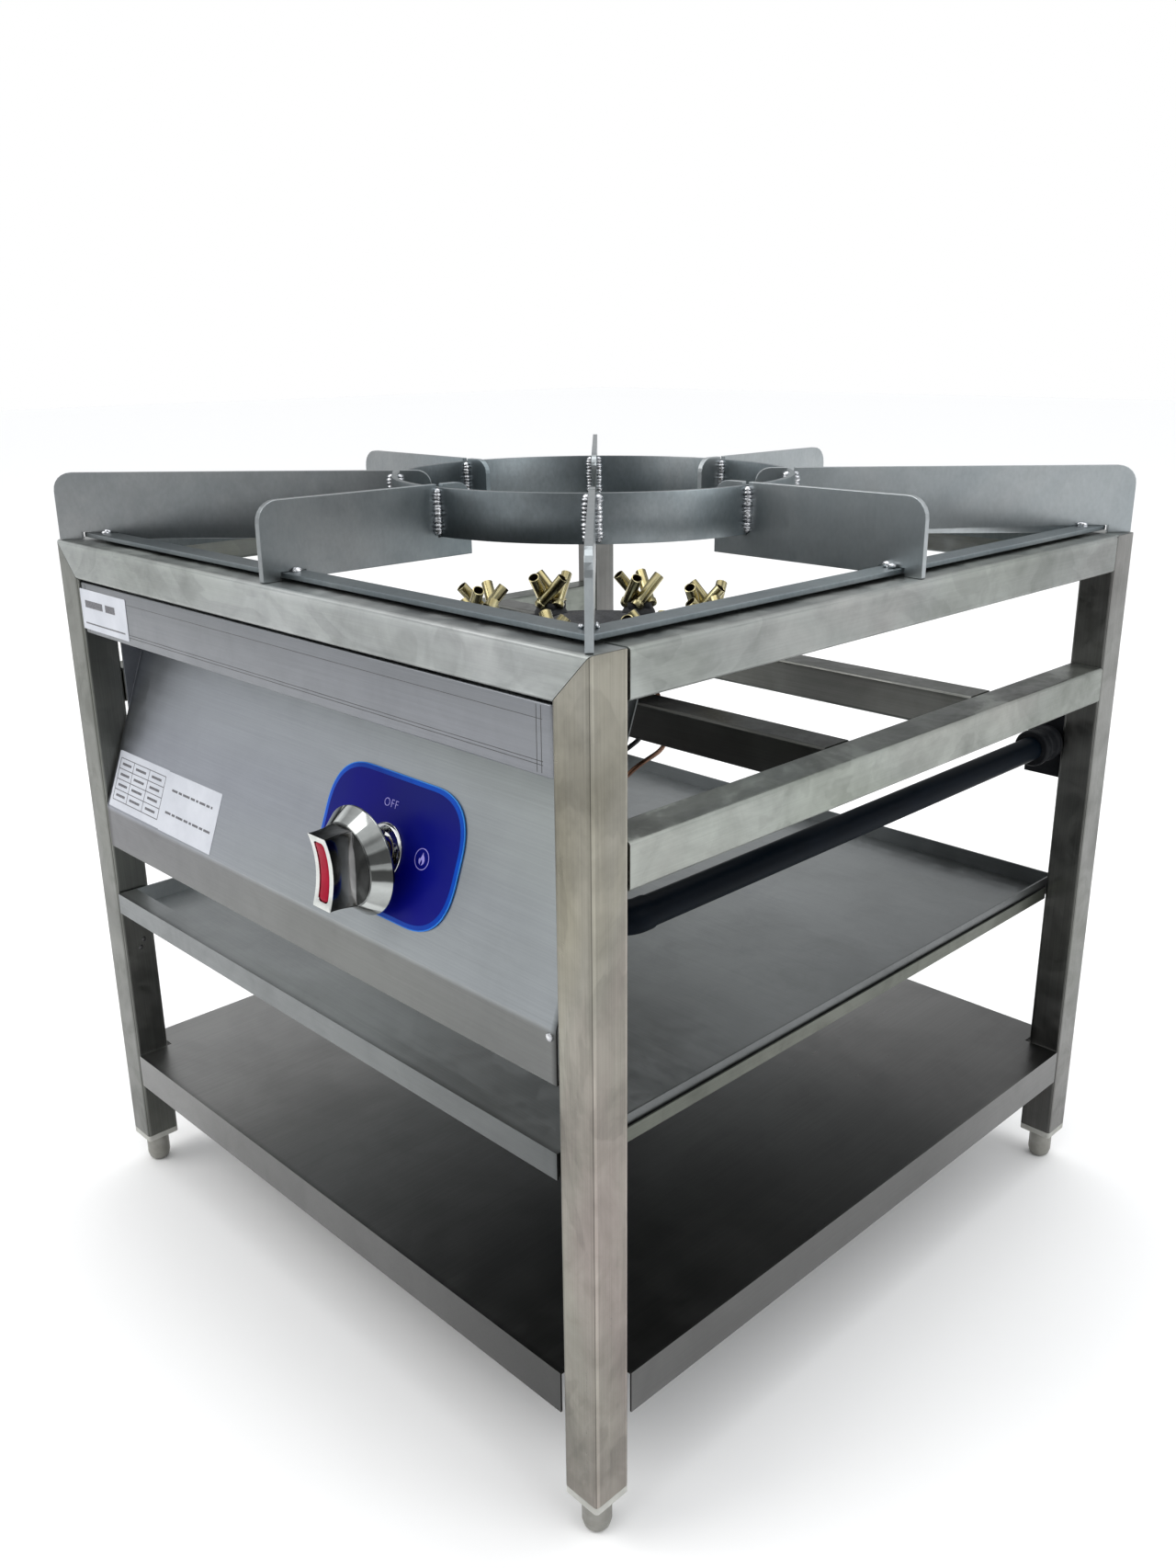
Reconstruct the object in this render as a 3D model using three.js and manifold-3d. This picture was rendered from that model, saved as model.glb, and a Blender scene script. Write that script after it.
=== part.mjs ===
// Gas burner stand: square-tube frame, drip tray, shelf, jet burner, control knob and lift-off pan support.
// Millimetres, +Z up, front towards -Y, origin on the floor under the middle of the whole stand.

import * as THREE from 'three';
import { mergeVertices } from 'three/addons/utils/BufferGeometryUtils.js';
import Module from 'manifold-3d';

const wasm = await Module();
wasm.setup();

// Frame
const WIDTH = 530;
const DEPTH = 530;
const TOP = 498;
const TUBE = 25;
const WALL = 1.5;
const CORNER = 2.2;
const LEG_BOTTOM = 28;
const GAP = 0.3;
const HALF_W = WIDTH / 2;
const HALF_D = DEPTH / 2;
const INNER = HALF_W - TUBE;
const LEG_AXIS = HALF_W - TUBE / 2;
const MID_RAIL_TOP = 406;
const BAR_Y = [-42, 117.5];

// Sheet metal
const SHEET = 1.2;
const SHELF_TOP = 102;
const SHELF_SKIRT = 26;
const SHELF_NOTCH = INNER - 2;
const TRAY_TOP = 238.5;
const TRAY_HEIGHT = 13.7;
const TRAY_HALF_W = 238.5;
const TRAY_BACK = 254;
const TRAY_LIP = 14;
const TRAY_SKIRT = 15.6;
const STRIP_FRONT = -263.4;
const STRIP_BOTTOM = 436;
const STRIP_TOP = TOP - TUBE - GAP;
const PANEL_BEND_Z = 308;
const PANEL_BOTTOM = 277;
const PANEL_TOP = 468;
const PANEL_FRONT = -264.5;
const PANEL_SLOPE = THREE.MathUtils.degToRad(20);

// Control knob and valve: the spindle lies level and comes out through the sloped panel
const DIAL_X = 83;
const DIAL_UP = 54;
const DIAL_T = 1;
const COLLAR_R = 16.8;
const COLLAR_T = 2.5;
const KNOB_X = 82;
const KNOB_UP = 49.1;
const KNOB_REACH = 44.4;
const KNOB_BACK = 16.8;
const BEZEL_R = 31.6;
const BEZEL_FRONT_R = 23.8;
const GRIP_HALF = 21.2;
const NECK_R = 7;
const HOLE_R = 8.2;
const SPINDLE_R = 4;

// Gas line
const PIPE_R = 8.6;
const PIPE_BORE = 6.3;
const PIPE_X = 230;
const ELBOW_REACH = 17;
const COUPLING_Y = 214;
const FEED_Y = -208.4;
const FEED_Z = 345.06;

// Burner
const JET_RING_R = 88;
const JET_HEADS = 8;
const JETS_PER_HEAD = 4;
const JET_TILT = THREE.MathUtils.degToRad(41);
const JET_WAIST = 7.6;
const JET_R = 4.2;
const JET_BORE = 3.3;
const JET_BELOW = 9;
const JET_ABOVE = 21;
const HEAD_Z = 431.3;
const HUB_BOTTOM = 409.8;

// Pan support
const FIN_T = 4;
const FIN_TOP = TOP + 45.5;
const FIN_INNER = 111;
const FIN_LONG = 371;
const FIN_SHORT = 263;
const RING_R = 137;
const RING_T = 4;
const RING_TOP = TOP + 43.5;
const RING_HEIGHT = 30;
const ANGLE_T = 3;
const ANGLE_LEG = 15;
const ANGLE_TOP = TOP + 4.8;
const ANGLE_INNER = 235.5;

const paint = (color, roughness, metalness) => new THREE.MeshStandardMaterial({ color, roughness, metalness });
const STEEL = paint(0xb4b3aa, 0.35, 0.9);
const SATIN = paint(0x9a9fa2, 0.4, 0.85);
const BARE = paint(0x8f979c, 0.45, 0.8);
const IRON = paint(0x1b1c1f, 0.8, 0.3);
const BRASS = paint(0xc9a75c, 0.25, 1);
const COPPER = paint(0x8a5a3c, 0.4, 1);
const BLACK = paint(0x17181b, 0.45, 0.2);
const CHROME = paint(0xd8dadb, 0.08, 1);
const RED = paint(0xb3122e, 0.4, 0);
const BLUE = paint(0x0b1f8c, 0.3, 0.1);
const PLASTIC = paint(0x8f8f8b, 0.6, 0.1);

// ---- solids ----

const toSolid = (geometry) => {
  const bare = geometry.index ? geometry.toNonIndexed() : geometry.clone();
  bare.deleteAttribute('normal');
  bare.deleteAttribute('uv');
  const merged = mergeVertices(bare, 1e-4);
  const vertProperties = new Float32Array(merged.attributes.position.array);
  const triVerts = new Uint32Array(merged.index.array);
  return new wasm.Manifold(new wasm.Mesh({ numProp: 3, vertProperties, triVerts }));
};

const toGeometry = (manifold) => {
  const mesh = manifold.getMesh();
  const geometry = new THREE.BufferGeometry();
  geometry.setAttribute('position', new THREE.BufferAttribute(new Float32Array(mesh.vertProperties), 3));
  geometry.setIndex(new THREE.BufferAttribute(new Uint32Array(mesh.triVerts), 1));
  return geometry;
};

const join = (...parts) => toGeometry(parts.map(toSolid).reduce((sum, part) => sum.add(part)));
const cut = (body, ...tools) => toGeometry(tools.map(toSolid).reduce((rest, tool) => rest.subtract(tool), toSolid(body)));

const box = (x0, x1, y0, y1, z0, z1) =>
  new THREE.BoxGeometry(x1 - x0, y1 - y0, z1 - z0).translate((x0 + x1) / 2, (y0 + y1) / 2, (z0 + z1) / 2);

const polygon = (points) => new THREE.Shape(points.map(([x, y]) => new THREE.Vector2(x, y)));

const extrude = (shape, depth, curveSegments = 2) =>
  new THREE.ExtrudeGeometry(shape, { depth, bevelEnabled: false, curveSegments });

// A (y, z) outline, extruded along X between x0 and x1.
const alongX = (shape, x0, x1, segments) =>
  extrude(shape, x1 - x0, segments).rotateZ(Math.PI / 2).rotateY(Math.PI / 2).translate(x0, 0, 0);

// An (x, z) outline, extruded along Y between y0 and y1.
const alongY = (shape, y0, y1, segments) =>
  extrude(shape, y1 - y0, segments).rotateX(Math.PI / 2).translate(0, y1, 0);

const roundedRect = (path, width, height, radius) => {
  const w = width / 2 - radius;
  const h = height / 2 - radius;
  path.absarc(w, h, radius, 0, Math.PI / 2);
  path.absarc(-w, h, radius, Math.PI / 2, Math.PI);
  path.absarc(-w, -h, radius, Math.PI, 1.5 * Math.PI);
  path.absarc(w, -h, radius, 1.5 * Math.PI, 2 * Math.PI);
  path.closePath();
  return path;
};

// A turned part: the profile is (radius, height) about Z.
const turned = (profile, segments = 16) =>
  new THREE.LatheGeometry(profile.map(([r, z]) => new THREE.Vector2(r, z)), segments).rotateX(Math.PI / 2);

const rod = (radius, z0, z1, segments = 16) => turned([[0, z0], [radius, z0], [radius, z1], [0, z1]], segments);

const pipe = (radius, bore, z0, z1, segments = 16) =>
  turned([[bore, z0], [radius, z0], [radius, z1], [bore, z1], [bore, z0]], segments);

// A bent round bar through the given points.
const bentBar = (points, radius, steps, sides = 6) => {
  const path = new THREE.CatmullRomCurve3(points, false, 'centripetal');
  const section = new THREE.Shape();
  for (let i = 0; i < sides; i += 1) {
    const angle = (2 * Math.PI * i) / sides;
    const corner = new THREE.Vector2(radius * Math.cos(angle), radius * Math.sin(angle));
    if (i === 0) {
      section.moveTo(corner.x, corner.y);
    } else {
      section.lineTo(corner.x, corner.y);
    }
  }
  section.closePath();
  return new THREE.ExtrudeGeometry(section, { steps, bevelEnabled: false, extrudePath: path });
};

// ---- scene graph ----

const stand = new THREE.Group();

// The knob reaches past the front of the frame, so the frame sits half that distance behind the origin.
const knobY = PANEL_FRONT + KNOB_UP * Math.sin(PANEL_SLOPE);
const knobZ = PANEL_BEND_Z + KNOB_UP * Math.cos(PANEL_SLOPE);
stand.position.y = -(knobY - KNOB_REACH + HALF_D) / 2;

const place = (name, geometry, material, parent = stand) => {
  const mesh = new THREE.Mesh(geometry, material);
  mesh.name = name;
  parent.add(mesh);
  return mesh;
};

// ---- square-tube frame ----

const tubeSection = () => {
  const shape = roundedRect(new THREE.Shape(), TUBE, TUBE, CORNER);
  shape.holes.push(roundedRect(new THREE.Path(), TUBE - 2 * WALL, TUBE - 2 * WALL, CORNER - 1.2));
  return shape;
};

const tubeX = (length) => extrude(tubeSection(), length).translate(0, 0, -length / 2).rotateY(Math.PI / 2);
const tubeY = (length) => extrude(tubeSection(), length).translate(0, 0, -length / 2).rotateX(Math.PI / 2);

// The mitred end rails widen upwards at 45 degrees to the outer corners.
const mitre = (grow) => {
  const low = TOP - TUBE - 1;
  const high = TOP + 1;
  const outline = polygon([
    [-(INNER - 1) - grow, low], [INNER - 1 + grow, low], [HALF_W + 1 + grow, high], [-(HALF_W + 1) - grow, high],
  ]);
  return alongY(outline, -HALF_D - 1, HALF_D + 1);
};

for (const [side, sx] of [['left', -1], ['right', 1]]) {
  for (const [end, sy] of [['front', -1], ['back', 1]]) {
    const leg = extrude(tubeSection(), TOP - LEG_BOTTOM).translate(sx * LEG_AXIS, sy * LEG_AXIS, LEG_BOTTOM);
    place(`leg_${end}_${side}`, cut(leg, mitre(GAP / 2)), STEEL);
  }
  const y = INNER - 2 * GAP;
  const topRail = tubeY(2 * y).translate(sx * LEG_AXIS, 0, TOP - TUBE / 2);
  const midRail = tubeY(2 * y).translate(sx * LEG_AXIS, 0, MID_RAIL_TOP - TUBE / 2);
  place(`top_rail_${side}`, topRail, STEEL);
  place(`mid_rail_${side}`, midRail, STEEL);
}
for (const [end, sy] of [['front', -1], ['back', 1]]) {
  const rail = toSolid(tubeX(WIDTH).translate(0, sy * LEG_AXIS, TOP - TUBE / 2));
  place(`top_rail_${end}`, toGeometry(rail.intersect(toSolid(mitre(-GAP / 2)))), STEEL);
}
BAR_Y.forEach((y, i) => {
  const bar = tubeX(2 * (INNER - GAP)).translate(0, y, MID_RAIL_TOP - TUBE / 2);
  place(`burner_bar_${['front', 'back'][i]}`, bar, STEEL);
});

// ---- shelf, tray and runners ----

const n = SHELF_NOTCH;
const shelfOutline = polygon([
  [-n, -HALF_D], [n, -HALF_D], [n, -n], [HALF_W, -n], [HALF_W, n], [n, n],
  [n, HALF_D], [-n, HALF_D], [-n, n], [-HALF_W, n], [-HALF_W, -n], [-n, -n],
]);
const shelfLow = SHELF_TOP - SHELF_SKIRT;
place('bottom_shelf', join(
  extrude(shelfOutline, SHEET).translate(0, 0, SHELF_TOP - SHEET),
  box(-n, n, -HALF_D, -HALF_D + SHEET, shelfLow, SHELF_TOP),
  box(-n, n, HALF_D - SHEET, HALF_D, shelfLow, SHELF_TOP),
  box(-HALF_W, -HALF_W + SHEET, -n, n, shelfLow, SHELF_TOP),
  box(HALF_W - SHEET, HALF_W, -n, n, shelfLow, SHELF_TOP),
), SATIN);

const trayLow = TRAY_TOP - TRAY_HEIGHT;
const trayBody = cut(
  box(-TRAY_HALF_W, TRAY_HALF_W, -HALF_D, TRAY_BACK, trayLow, TRAY_TOP),
  box(-TRAY_HALF_W + SHEET, TRAY_HALF_W - SHEET, -HALF_D + SHEET, TRAY_BACK - SHEET, trayLow + SHEET, TRAY_TOP + 1),
);
place('drip_tray', join(
  trayBody,
  box(-TRAY_HALF_W, TRAY_HALF_W, -HALF_D, -HALF_D + TRAY_LIP, TRAY_TOP - SHEET, TRAY_TOP),
  box(-TRAY_HALF_W, TRAY_HALF_W, -HALF_D, -HALF_D + SHEET, TRAY_TOP - TRAY_SKIRT, TRAY_TOP),
), SATIN);

for (const [side, sx] of [['left', -1], ['right', 1]]) {
  const foot = trayLow - GAP;
  const runner = polygon([
    [sx * 226, foot - SHEET], [sx * 240.6, foot - SHEET], [sx * 240.6, 232],
    [sx * 239.4, 232], [sx * 239.4, foot], [sx * 226, foot],
  ]);
  place(`tray_runner_${side}`, alongY(runner, -INNER + GAP, INNER - GAP), STEEL);
}

// ---- front sheet metal ----

const stripOutline = polygon([
  [STRIP_FRONT, STRIP_BOTTOM], [-222, STRIP_BOTTOM], [-222, STRIP_BOTTOM + SHEET],
  [STRIP_FRONT + SHEET, STRIP_BOTTOM + SHEET], [STRIP_FRONT + SHEET, STRIP_TOP - SHEET],
  [-250, STRIP_TOP - SHEET], [-250, STRIP_TOP], [STRIP_FRONT, STRIP_TOP],
]);
place('front_strip', alongX(stripOutline, -INNER + 0.5, INNER - 0.5), SATIN);

// Panel coordinates: x across, up along the slope from the bend, out along the outward normal.
const panelFrame = new THREE.Group();
panelFrame.position.set(0, PANEL_FRONT, PANEL_BEND_Z);
panelFrame.rotation.x = Math.PI / 2 - PANEL_SLOPE;
stand.add(panelFrame);
panelFrame.updateMatrix();

// Knob coordinates: x across, z up, out along the level spindle from where it meets the panel.
const knobFrame = new THREE.Group();
knobFrame.position.set(KNOB_X, knobY, knobZ);
knobFrame.rotation.x = Math.PI / 2;
stand.add(knobFrame);
knobFrame.updateMatrix();
const knobPoint = (x, up, out) => new THREE.Vector3(x, up, out).applyMatrix4(knobFrame.matrix);

const slopeRun = (z) => PANEL_FRONT + (z - PANEL_BEND_Z) * Math.tan(PANEL_SLOPE);
const bendShift = SHEET * Math.tan(PANEL_SLOPE / 2);
const slopeThick = SHEET / Math.cos(PANEL_SLOPE);
const panelOutline = polygon([
  [PANEL_FRONT, PANEL_BOTTOM], [PANEL_FRONT, PANEL_BEND_Z], [slopeRun(PANEL_TOP), PANEL_TOP],
  [slopeRun(PANEL_TOP) + slopeThick, PANEL_TOP], [PANEL_FRONT + SHEET, PANEL_BEND_Z - bendShift],
  [PANEL_FRONT + SHEET, PANEL_BOTTOM + SHEET], [PANEL_FRONT + TRAY_LIP, PANEL_BOTTOM + SHEET],
  [PANEL_FRONT + TRAY_LIP, PANEL_BOTTOM],
]);
const cheek = (x0, x1) => box(x0, x1, -INNER + GAP, -222, PANEL_BOTTOM, STRIP_BOTTOM - GAP);
const neckHole = rod(HOLE_R, -20, 20).applyMatrix4(knobFrame.matrix);
const cheekX = INNER - 1;
place('control_panel', cut(
  join(
    alongX(panelOutline, -cheekX, cheekX),
    cheek(-cheekX, -cheekX + SHEET),
    cheek(cheekX - SHEET, cheekX),
  ),
  neckHole,
), SATIN);

// ---- dial plate, knob, spindle and valve ----

const dialFrame = new THREE.Group();
dialFrame.position.set(DIAL_X, DIAL_UP, 0);
panelFrame.add(dialFrame);
const axisX = KNOB_X - DIAL_X;
const axisUp = KNOB_UP - DIAL_UP;
const tiltedHole = rod(HOLE_R, -20, 20).rotateX(PANEL_SLOPE).translate(axisX, axisUp, 0);
const collar = turned([[0, 0.8], [COLLAR_R, 0.8], [COLLAR_R, 2.4], [COLLAR_R - 1.2, GAP + DIAL_T + COLLAR_T],
  [0, GAP + DIAL_T + COLLAR_T]], 32).translate(axisX, axisUp, 0);
place('dial_plate', cut(
  join(extrude(roundedRect(new THREE.Shape(), 126, 80, 33), DIAL_T, 6).translate(0, 0, GAP), collar),
  tiltedHole,
), BLUE, dialFrame);

const bezelFace = KNOB_BACK + 10.8;
const bezel = turned([
  [4.4, 11.2], [10, 11.2], [10, 21], [26.5, 21], [30.4, KNOB_BACK], [BEZEL_R, KNOB_BACK],
  [BEZEL_R, KNOB_BACK + 1.2], [BEZEL_FRONT_R, bezelFace], [4.4, bezelFace], [4.4, 11.2],
], 32);
const gripBase = bezelFace - 0.5;
const gripDip = 3.7;
const faceRadius = (GRIP_HALF * GRIP_HALF + gripDip * gripDip) / (2 * gripDip);
const faceHalf = Math.asin(GRIP_HALF / faceRadius);
const faceCentre = KNOB_REACH + faceRadius - gripDip;
const gripOutline = new THREE.Shape();
gripOutline.moveTo(-22.4, gripBase);
gripOutline.lineTo(22.4, gripBase);
gripOutline.lineTo(GRIP_HALF, KNOB_REACH);
gripOutline.absarc(0, faceCentre, faceRadius, -Math.PI / 2 + faceHalf, -Math.PI / 2 - faceHalf, true);
gripOutline.closePath();

const insertOutline = (share, low, high) => {
  const half = faceHalf * share;
  const shape = new THREE.Shape();
  shape.absarc(0, faceCentre, faceRadius - high, -Math.PI / 2 - half, -Math.PI / 2 + half, false);
  shape.absarc(0, faceCentre, faceRadius - low, -Math.PI / 2 + half, -Math.PI / 2 - half, true);
  shape.closePath();
  return shape;
};
const acrossGrip = (shape, width) => {
  const turn = new THREE.Matrix4().makeBasis(
    new THREE.Vector3(0, 1, 0), new THREE.Vector3(0, 0, 1), new THREE.Vector3(1, 0, 0),
  );
  return extrude(shape, width, 5).translate(0, 0, -width / 2).applyMatrix4(turn);
};
const flareOutline = polygon([
  [-10.4, gripBase], [10.4, gripBase], [8.9, bezelFace + 6], [8.4, KNOB_REACH + 1], [-8.4, KNOB_REACH + 1],
  [-8.9, bezelFace + 6],
]);
const flare = extrude(flareOutline, 50).translate(0, 0, -25).rotateX(Math.PI / 2);
const grip = toGeometry(toSolid(acrossGrip(gripOutline, 22)).intersect(toSolid(flare)));
const pocket = acrossGrip(insertOutline(0.84, -2, 4), 9.4);
place('knob_body', cut(join(bezel, grip), pocket, rod(4.4, 5, 22.5)), CHROME, knobFrame);
place('knob_insert', acrossGrip(insertOutline(0.82, -1.6, 0.7), 8.8), RED, knobFrame);

place('valve_spindle', cut(rod(SPINDLE_R, -28, 21.5), box(-5, 5, 3, 5, 9, 22.5)), BRASS, knobFrame);

const valveFront = -14;
const valveBack = -58;
const feedOut = knobY - FEED_Y;
const feedUp = FEED_Z - knobZ;
const boss = (x0, x1) => rod(10, x0, x1).rotateY(Math.PI / 2).translate(0, feedUp, feedOut);
place('valve_body', cut(
  join(
    rod(NECK_R, valveFront - 1, 4),
    box(-15, 15, feedUp - 13, 16, valveBack, valveFront),
    boss(14, 26),
    boss(-26, -14),
  ),
  rod(4.4, -32, 5),
), BRASS, knobFrame);

// ---- gas line ----

const feedStart = KNOB_X + 26 + GAP;
place('feed_pipe', pipe(PIPE_R, PIPE_BORE, feedStart, PIPE_X - ELBOW_REACH - GAP)
  .rotateY(Math.PI / 2).translate(0, FEED_Y, FEED_Z), BLACK);

const elbowArm = () => turned([
  [0, 0], [9.4, 0], [9.4, 12], [10.2, 12.6], [10.2, ELBOW_REACH], [0, ELBOW_REACH],
]);
place('pipe_elbow', join(
  new THREE.SphereGeometry(9.4, 16, 8),
  elbowArm().rotateY(-Math.PI / 2),
  elbowArm().rotateX(-Math.PI / 2),
).translate(PIPE_X, FEED_Y, FEED_Z), BLACK);

const gasPipe = pipe(PIPE_R, PIPE_BORE, FEED_Y + ELBOW_REACH + GAP, COUPLING_Y);
place('gas_pipe', gasPipe.rotateX(-Math.PI / 2).translate(PIPE_X, 0, FEED_Z), BLACK);

const couplingStart = COUPLING_Y + GAP;
place('inlet_coupling', turned([
  [PIPE_BORE, couplingStart], [13.2, couplingStart], [13.2, couplingStart + 4], [12, couplingStart + 5.5],
  [12, 232.5], [13.2, 234], [13.2, 237.5], [11.5, INNER - 0.6], [8.6, INNER - 0.6], [8.6, 262], [PIPE_BORE, 262],
  [PIPE_BORE, couplingStart],
]).rotateX(-Math.PI / 2).translate(PIPE_X, 0, FEED_Z), BLACK);

const bracketLow = FEED_Z - 27;
const bracketHigh = FEED_Z + 27;
place('pipe_bracket', cut(
  box(211, INNER - GAP, 245, 248, bracketLow, bracketHigh),
  rod(8.9, 240, 250).rotateX(-Math.PI / 2).translate(PIPE_X, 0, FEED_Z),
), IRON);

// ---- burner ----

const cradleTop = MID_RAIL_TOP + GAP + 3;
const cradle = (x0, x1, y0, y1) => box(x0, x1, y0, y1, MID_RAIL_TOP + GAP, cradleTop);
place('burner_cradle', cut(
  join(cradle(-46, -22, -54, 129), cradle(22, 46, -54, 129), cradle(-40, 40, -26, 26)),
  rod(19.5, MID_RAIL_TOP - 5, cradleTop + 5),
), BARE);

const hub = turned([
  [0, HUB_BOTTOM], [30, HUB_BOTTOM], [34, 416], [34, 436], [31, 440], [14, 440], [10, 437], [0, 437],
], 24);
const channel = turned([
  [JET_RING_R - 13, 413], [JET_RING_R + 13, 413], [JET_RING_R + 13, 423], [JET_RING_R + 9, 430],
  [JET_RING_R - 9, 430], [JET_RING_R - 13, 423], [JET_RING_R - 13, 413],
], 32);
const arms = [0, 1, 2, 3].map((i) => box(28, JET_RING_R, -8, 8, 414, 427).rotateZ(Math.PI / 4 + (i * Math.PI) / 2));
const headAngle = (i) => ((i + 0.5) * 2 * Math.PI) / JET_HEADS;
const bosses = Array.from({ length: JET_HEADS }, (_, i) =>
  turned([[0, 426], [13, 426], [12, HEAD_Z - GAP], [0, HEAD_Z - GAP]], 12)
    .translate(JET_RING_R, 0, 0).rotateZ(headAngle(i)));
place('burner_body', join(hub, channel, ...arms, ...bosses), IRON);

// Each jet leans past the head's axis, so the four of a head cross without touching.
const jet = (angle) => turned([
  [0, -JET_BELOW], [JET_R, -JET_BELOW], [JET_R, JET_ABOVE], [JET_BORE, JET_ABOVE], [JET_BORE, 2], [0, 2],
], 10).rotateX(-JET_TILT).translate(JET_WAIST, 0, 10).rotateZ(angle);
for (let i = 0; i < JET_HEADS; i += 1) {
  const dome = turned([[0, HEAD_Z], [12.5, HEAD_Z], [11.5, HEAD_Z + 4], [6, HEAD_Z + 6.5], [0, HEAD_Z + 6.5]], 12);
  const jets = Array.from({ length: JETS_PER_HEAD }, (_, j) =>
    jet(((j + 0.5) * 2 * Math.PI) / JETS_PER_HEAD).translate(0, 0, HEAD_Z));
  const head = cut(join(dome, ...jets), box(-30, 30, -30, 30, HEAD_Z - 10, HEAD_Z));
  place(`jet_head_${i + 1}`, head.translate(JET_RING_R, 0, 0).rotateZ(headAngle(i)), BRASS);
}

place('mixing_tube', turned([
  [11, 352], [14, 338], [17, 332], [19, 332], [16, 340], [13, 354], [13, 392], [18, 400],
  [18, HUB_BOTTOM - GAP], [11, HUB_BOTTOM - GAP], [11, 352],
]), IRON);

const outlet = new THREE.Vector3(KNOB_X - 26 - GAP, FEED_Y, FEED_Z);
place('supply_tube', bentBar([
  outlet,
  new THREE.Vector3(32, FEED_Y, FEED_Z),
  new THREE.Vector3(6, FEED_Y + 22, FEED_Z - 8),
  new THREE.Vector3(0, -150, 322),
  new THREE.Vector3(0, -60, 316),
  new THREE.Vector3(0, -16, 317),
  new THREE.Vector3(0, -2, 326),
  new THREE.Vector3(0, 0, 338),
], 6, 22, 8), BARE);

place('pilot_tube', bentBar([
  knobPoint(8, 4, valveBack - 0.5),
  knobPoint(9, 4, valveBack - 14),
  new THREE.Vector3(108, -130, 346),
  new THREE.Vector3(103, -67, 366),
  new THREE.Vector3(92, -26, 372),
  new THREE.Vector3(64, 2, 386),
  new THREE.Vector3(51, 6, 404),
  new THREE.Vector3(50, 6, 432),
], 2, 20), COPPER);

place('thermocouple', bentBar([
  knobPoint(-8, 4, valveBack - 0.5),
  knobPoint(-8, 4, valveBack - 14),
  new THREE.Vector3(88, -120, 358),
  new THREE.Vector3(84, -56, 372),
  new THREE.Vector3(70, -24, 376),
  new THREE.Vector3(54, -12, 392),
  new THREE.Vector3(50, -9, 410),
  new THREE.Vector3(50, -9, 432),
], 1.6, 20), BLACK);

// ---- feet ----

for (const [side, sx] of [['left', -1], ['right', 1]]) {
  for (const [end, sy] of [['front', -1], ['back', 1]]) {
    const foot = new THREE.Group();
    foot.position.set(sx * LEG_AXIS, sy * LEG_AXIS, 0);
    stand.add(foot);
    const plug = TUBE - 2 * WALL - 2 * GAP;
    const flange = extrude(roundedRect(new THREE.Shape(), TUBE, TUBE, CORNER), 4.5).translate(0, 0, 23.5);
    const insert = cut(join(flange, box(-plug / 2, plug / 2, -plug / 2, plug / 2, 27, 46)), rod(4.5, 20, 50, 12));
    place(`foot_insert_${end}_${side}`, insert, PLASTIC, foot);
    place(`levelling_foot_${end}_${side}`, turned([
      [0, 0], [5.5, 0], [7.6, 1.6], [8.5, 5], [8.5, 20], [7.5, 22.5], [4, 22.5], [4, 58], [0, 58],
    ], 14), PLASTIC, foot);
  }
}

// ---- pan support ----

place('trivet_ring', pipe(RING_R, RING_R - RING_T, RING_TOP - RING_HEIGHT, RING_TOP, 48), BARE);

const squareRing = (outer, inner, z0, z1) => {
  const shape = polygon([[-outer, -outer], [outer, -outer], [outer, outer], [-outer, outer]]);
  shape.holes.push(polygon([[-inner, -inner], [-inner, inner], [inner, inner], [inner, -inner]]));
  return extrude(shape, z1 - z0).translate(0, 0, z0);
};
place('trivet_frame', join(
  squareRing(ANGLE_INNER + ANGLE_LEG, ANGLE_INNER, ANGLE_TOP - ANGLE_T, ANGLE_TOP),
  squareRing(ANGLE_INNER + ANGLE_T, ANGLE_INNER, ANGLE_TOP - ANGLE_LEG, ANGLE_TOP),
), BARE);

// A radial fin in its own plane: x outwards, y up, with a slot for the ring and a notch over the angle frame.
const finGeometry = (outer, notchStart, notchEnd) => {
  const low = TOP + GAP;
  const notchTop = ANGLE_TOP + GAP;
  const slotLow = RING_TOP - RING_HEIGHT - GAP;
  const outerRound = 12.5;
  const innerRound = 10;
  const shape = new THREE.Shape();
  shape.moveTo(FIN_INNER, low);
  shape.lineTo(notchStart, low);
  shape.lineTo(notchStart, notchTop);
  shape.lineTo(notchEnd, notchTop);
  shape.lineTo(notchEnd, low);
  shape.lineTo(outer, low);
  shape.absarc(outer - outerRound, FIN_TOP - outerRound, outerRound, 0, Math.PI / 2);
  shape.lineTo(RING_R + 2 * GAP, FIN_TOP);
  shape.lineTo(RING_R + 2 * GAP, slotLow);
  shape.lineTo(RING_R - RING_T - 2 * GAP, slotLow);
  shape.lineTo(RING_R - RING_T - 2 * GAP, FIN_TOP);
  shape.absarc(FIN_INNER + innerRound, FIN_TOP - innerRound, innerRound, Math.PI / 2, Math.PI);
  shape.closePath();
  return alongY(shape, -FIN_T / 2, FIN_T / 2, 3);
};
const angleOuter = ANGLE_INNER + ANGLE_LEG;
const finNames = ['right', 'back_right', 'back', 'back_left', 'left', 'front_left', 'front', 'front_right'];
finNames.forEach((name, i) => {
  const long = i % 2 === 1;
  const fin = long
    ? finGeometry(FIN_LONG, ANGLE_INNER * Math.SQRT2 - 3, angleOuter * Math.SQRT2 + 1)
    : finGeometry(FIN_SHORT, ANGLE_INNER - 1, angleOuter + 1);
  const mesh = place(`trivet_fin_${name}`, fin, BARE);
  mesh.rotation.z = (i * Math.PI) / 4;
});

export default stand;
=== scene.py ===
"""Gas burner stand, as it looks. Lengths are in millimetres, and in metres inside the material patterns."""

import math
import random

import bmesh
import bpy
from mathutils import Matrix, Vector


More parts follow.
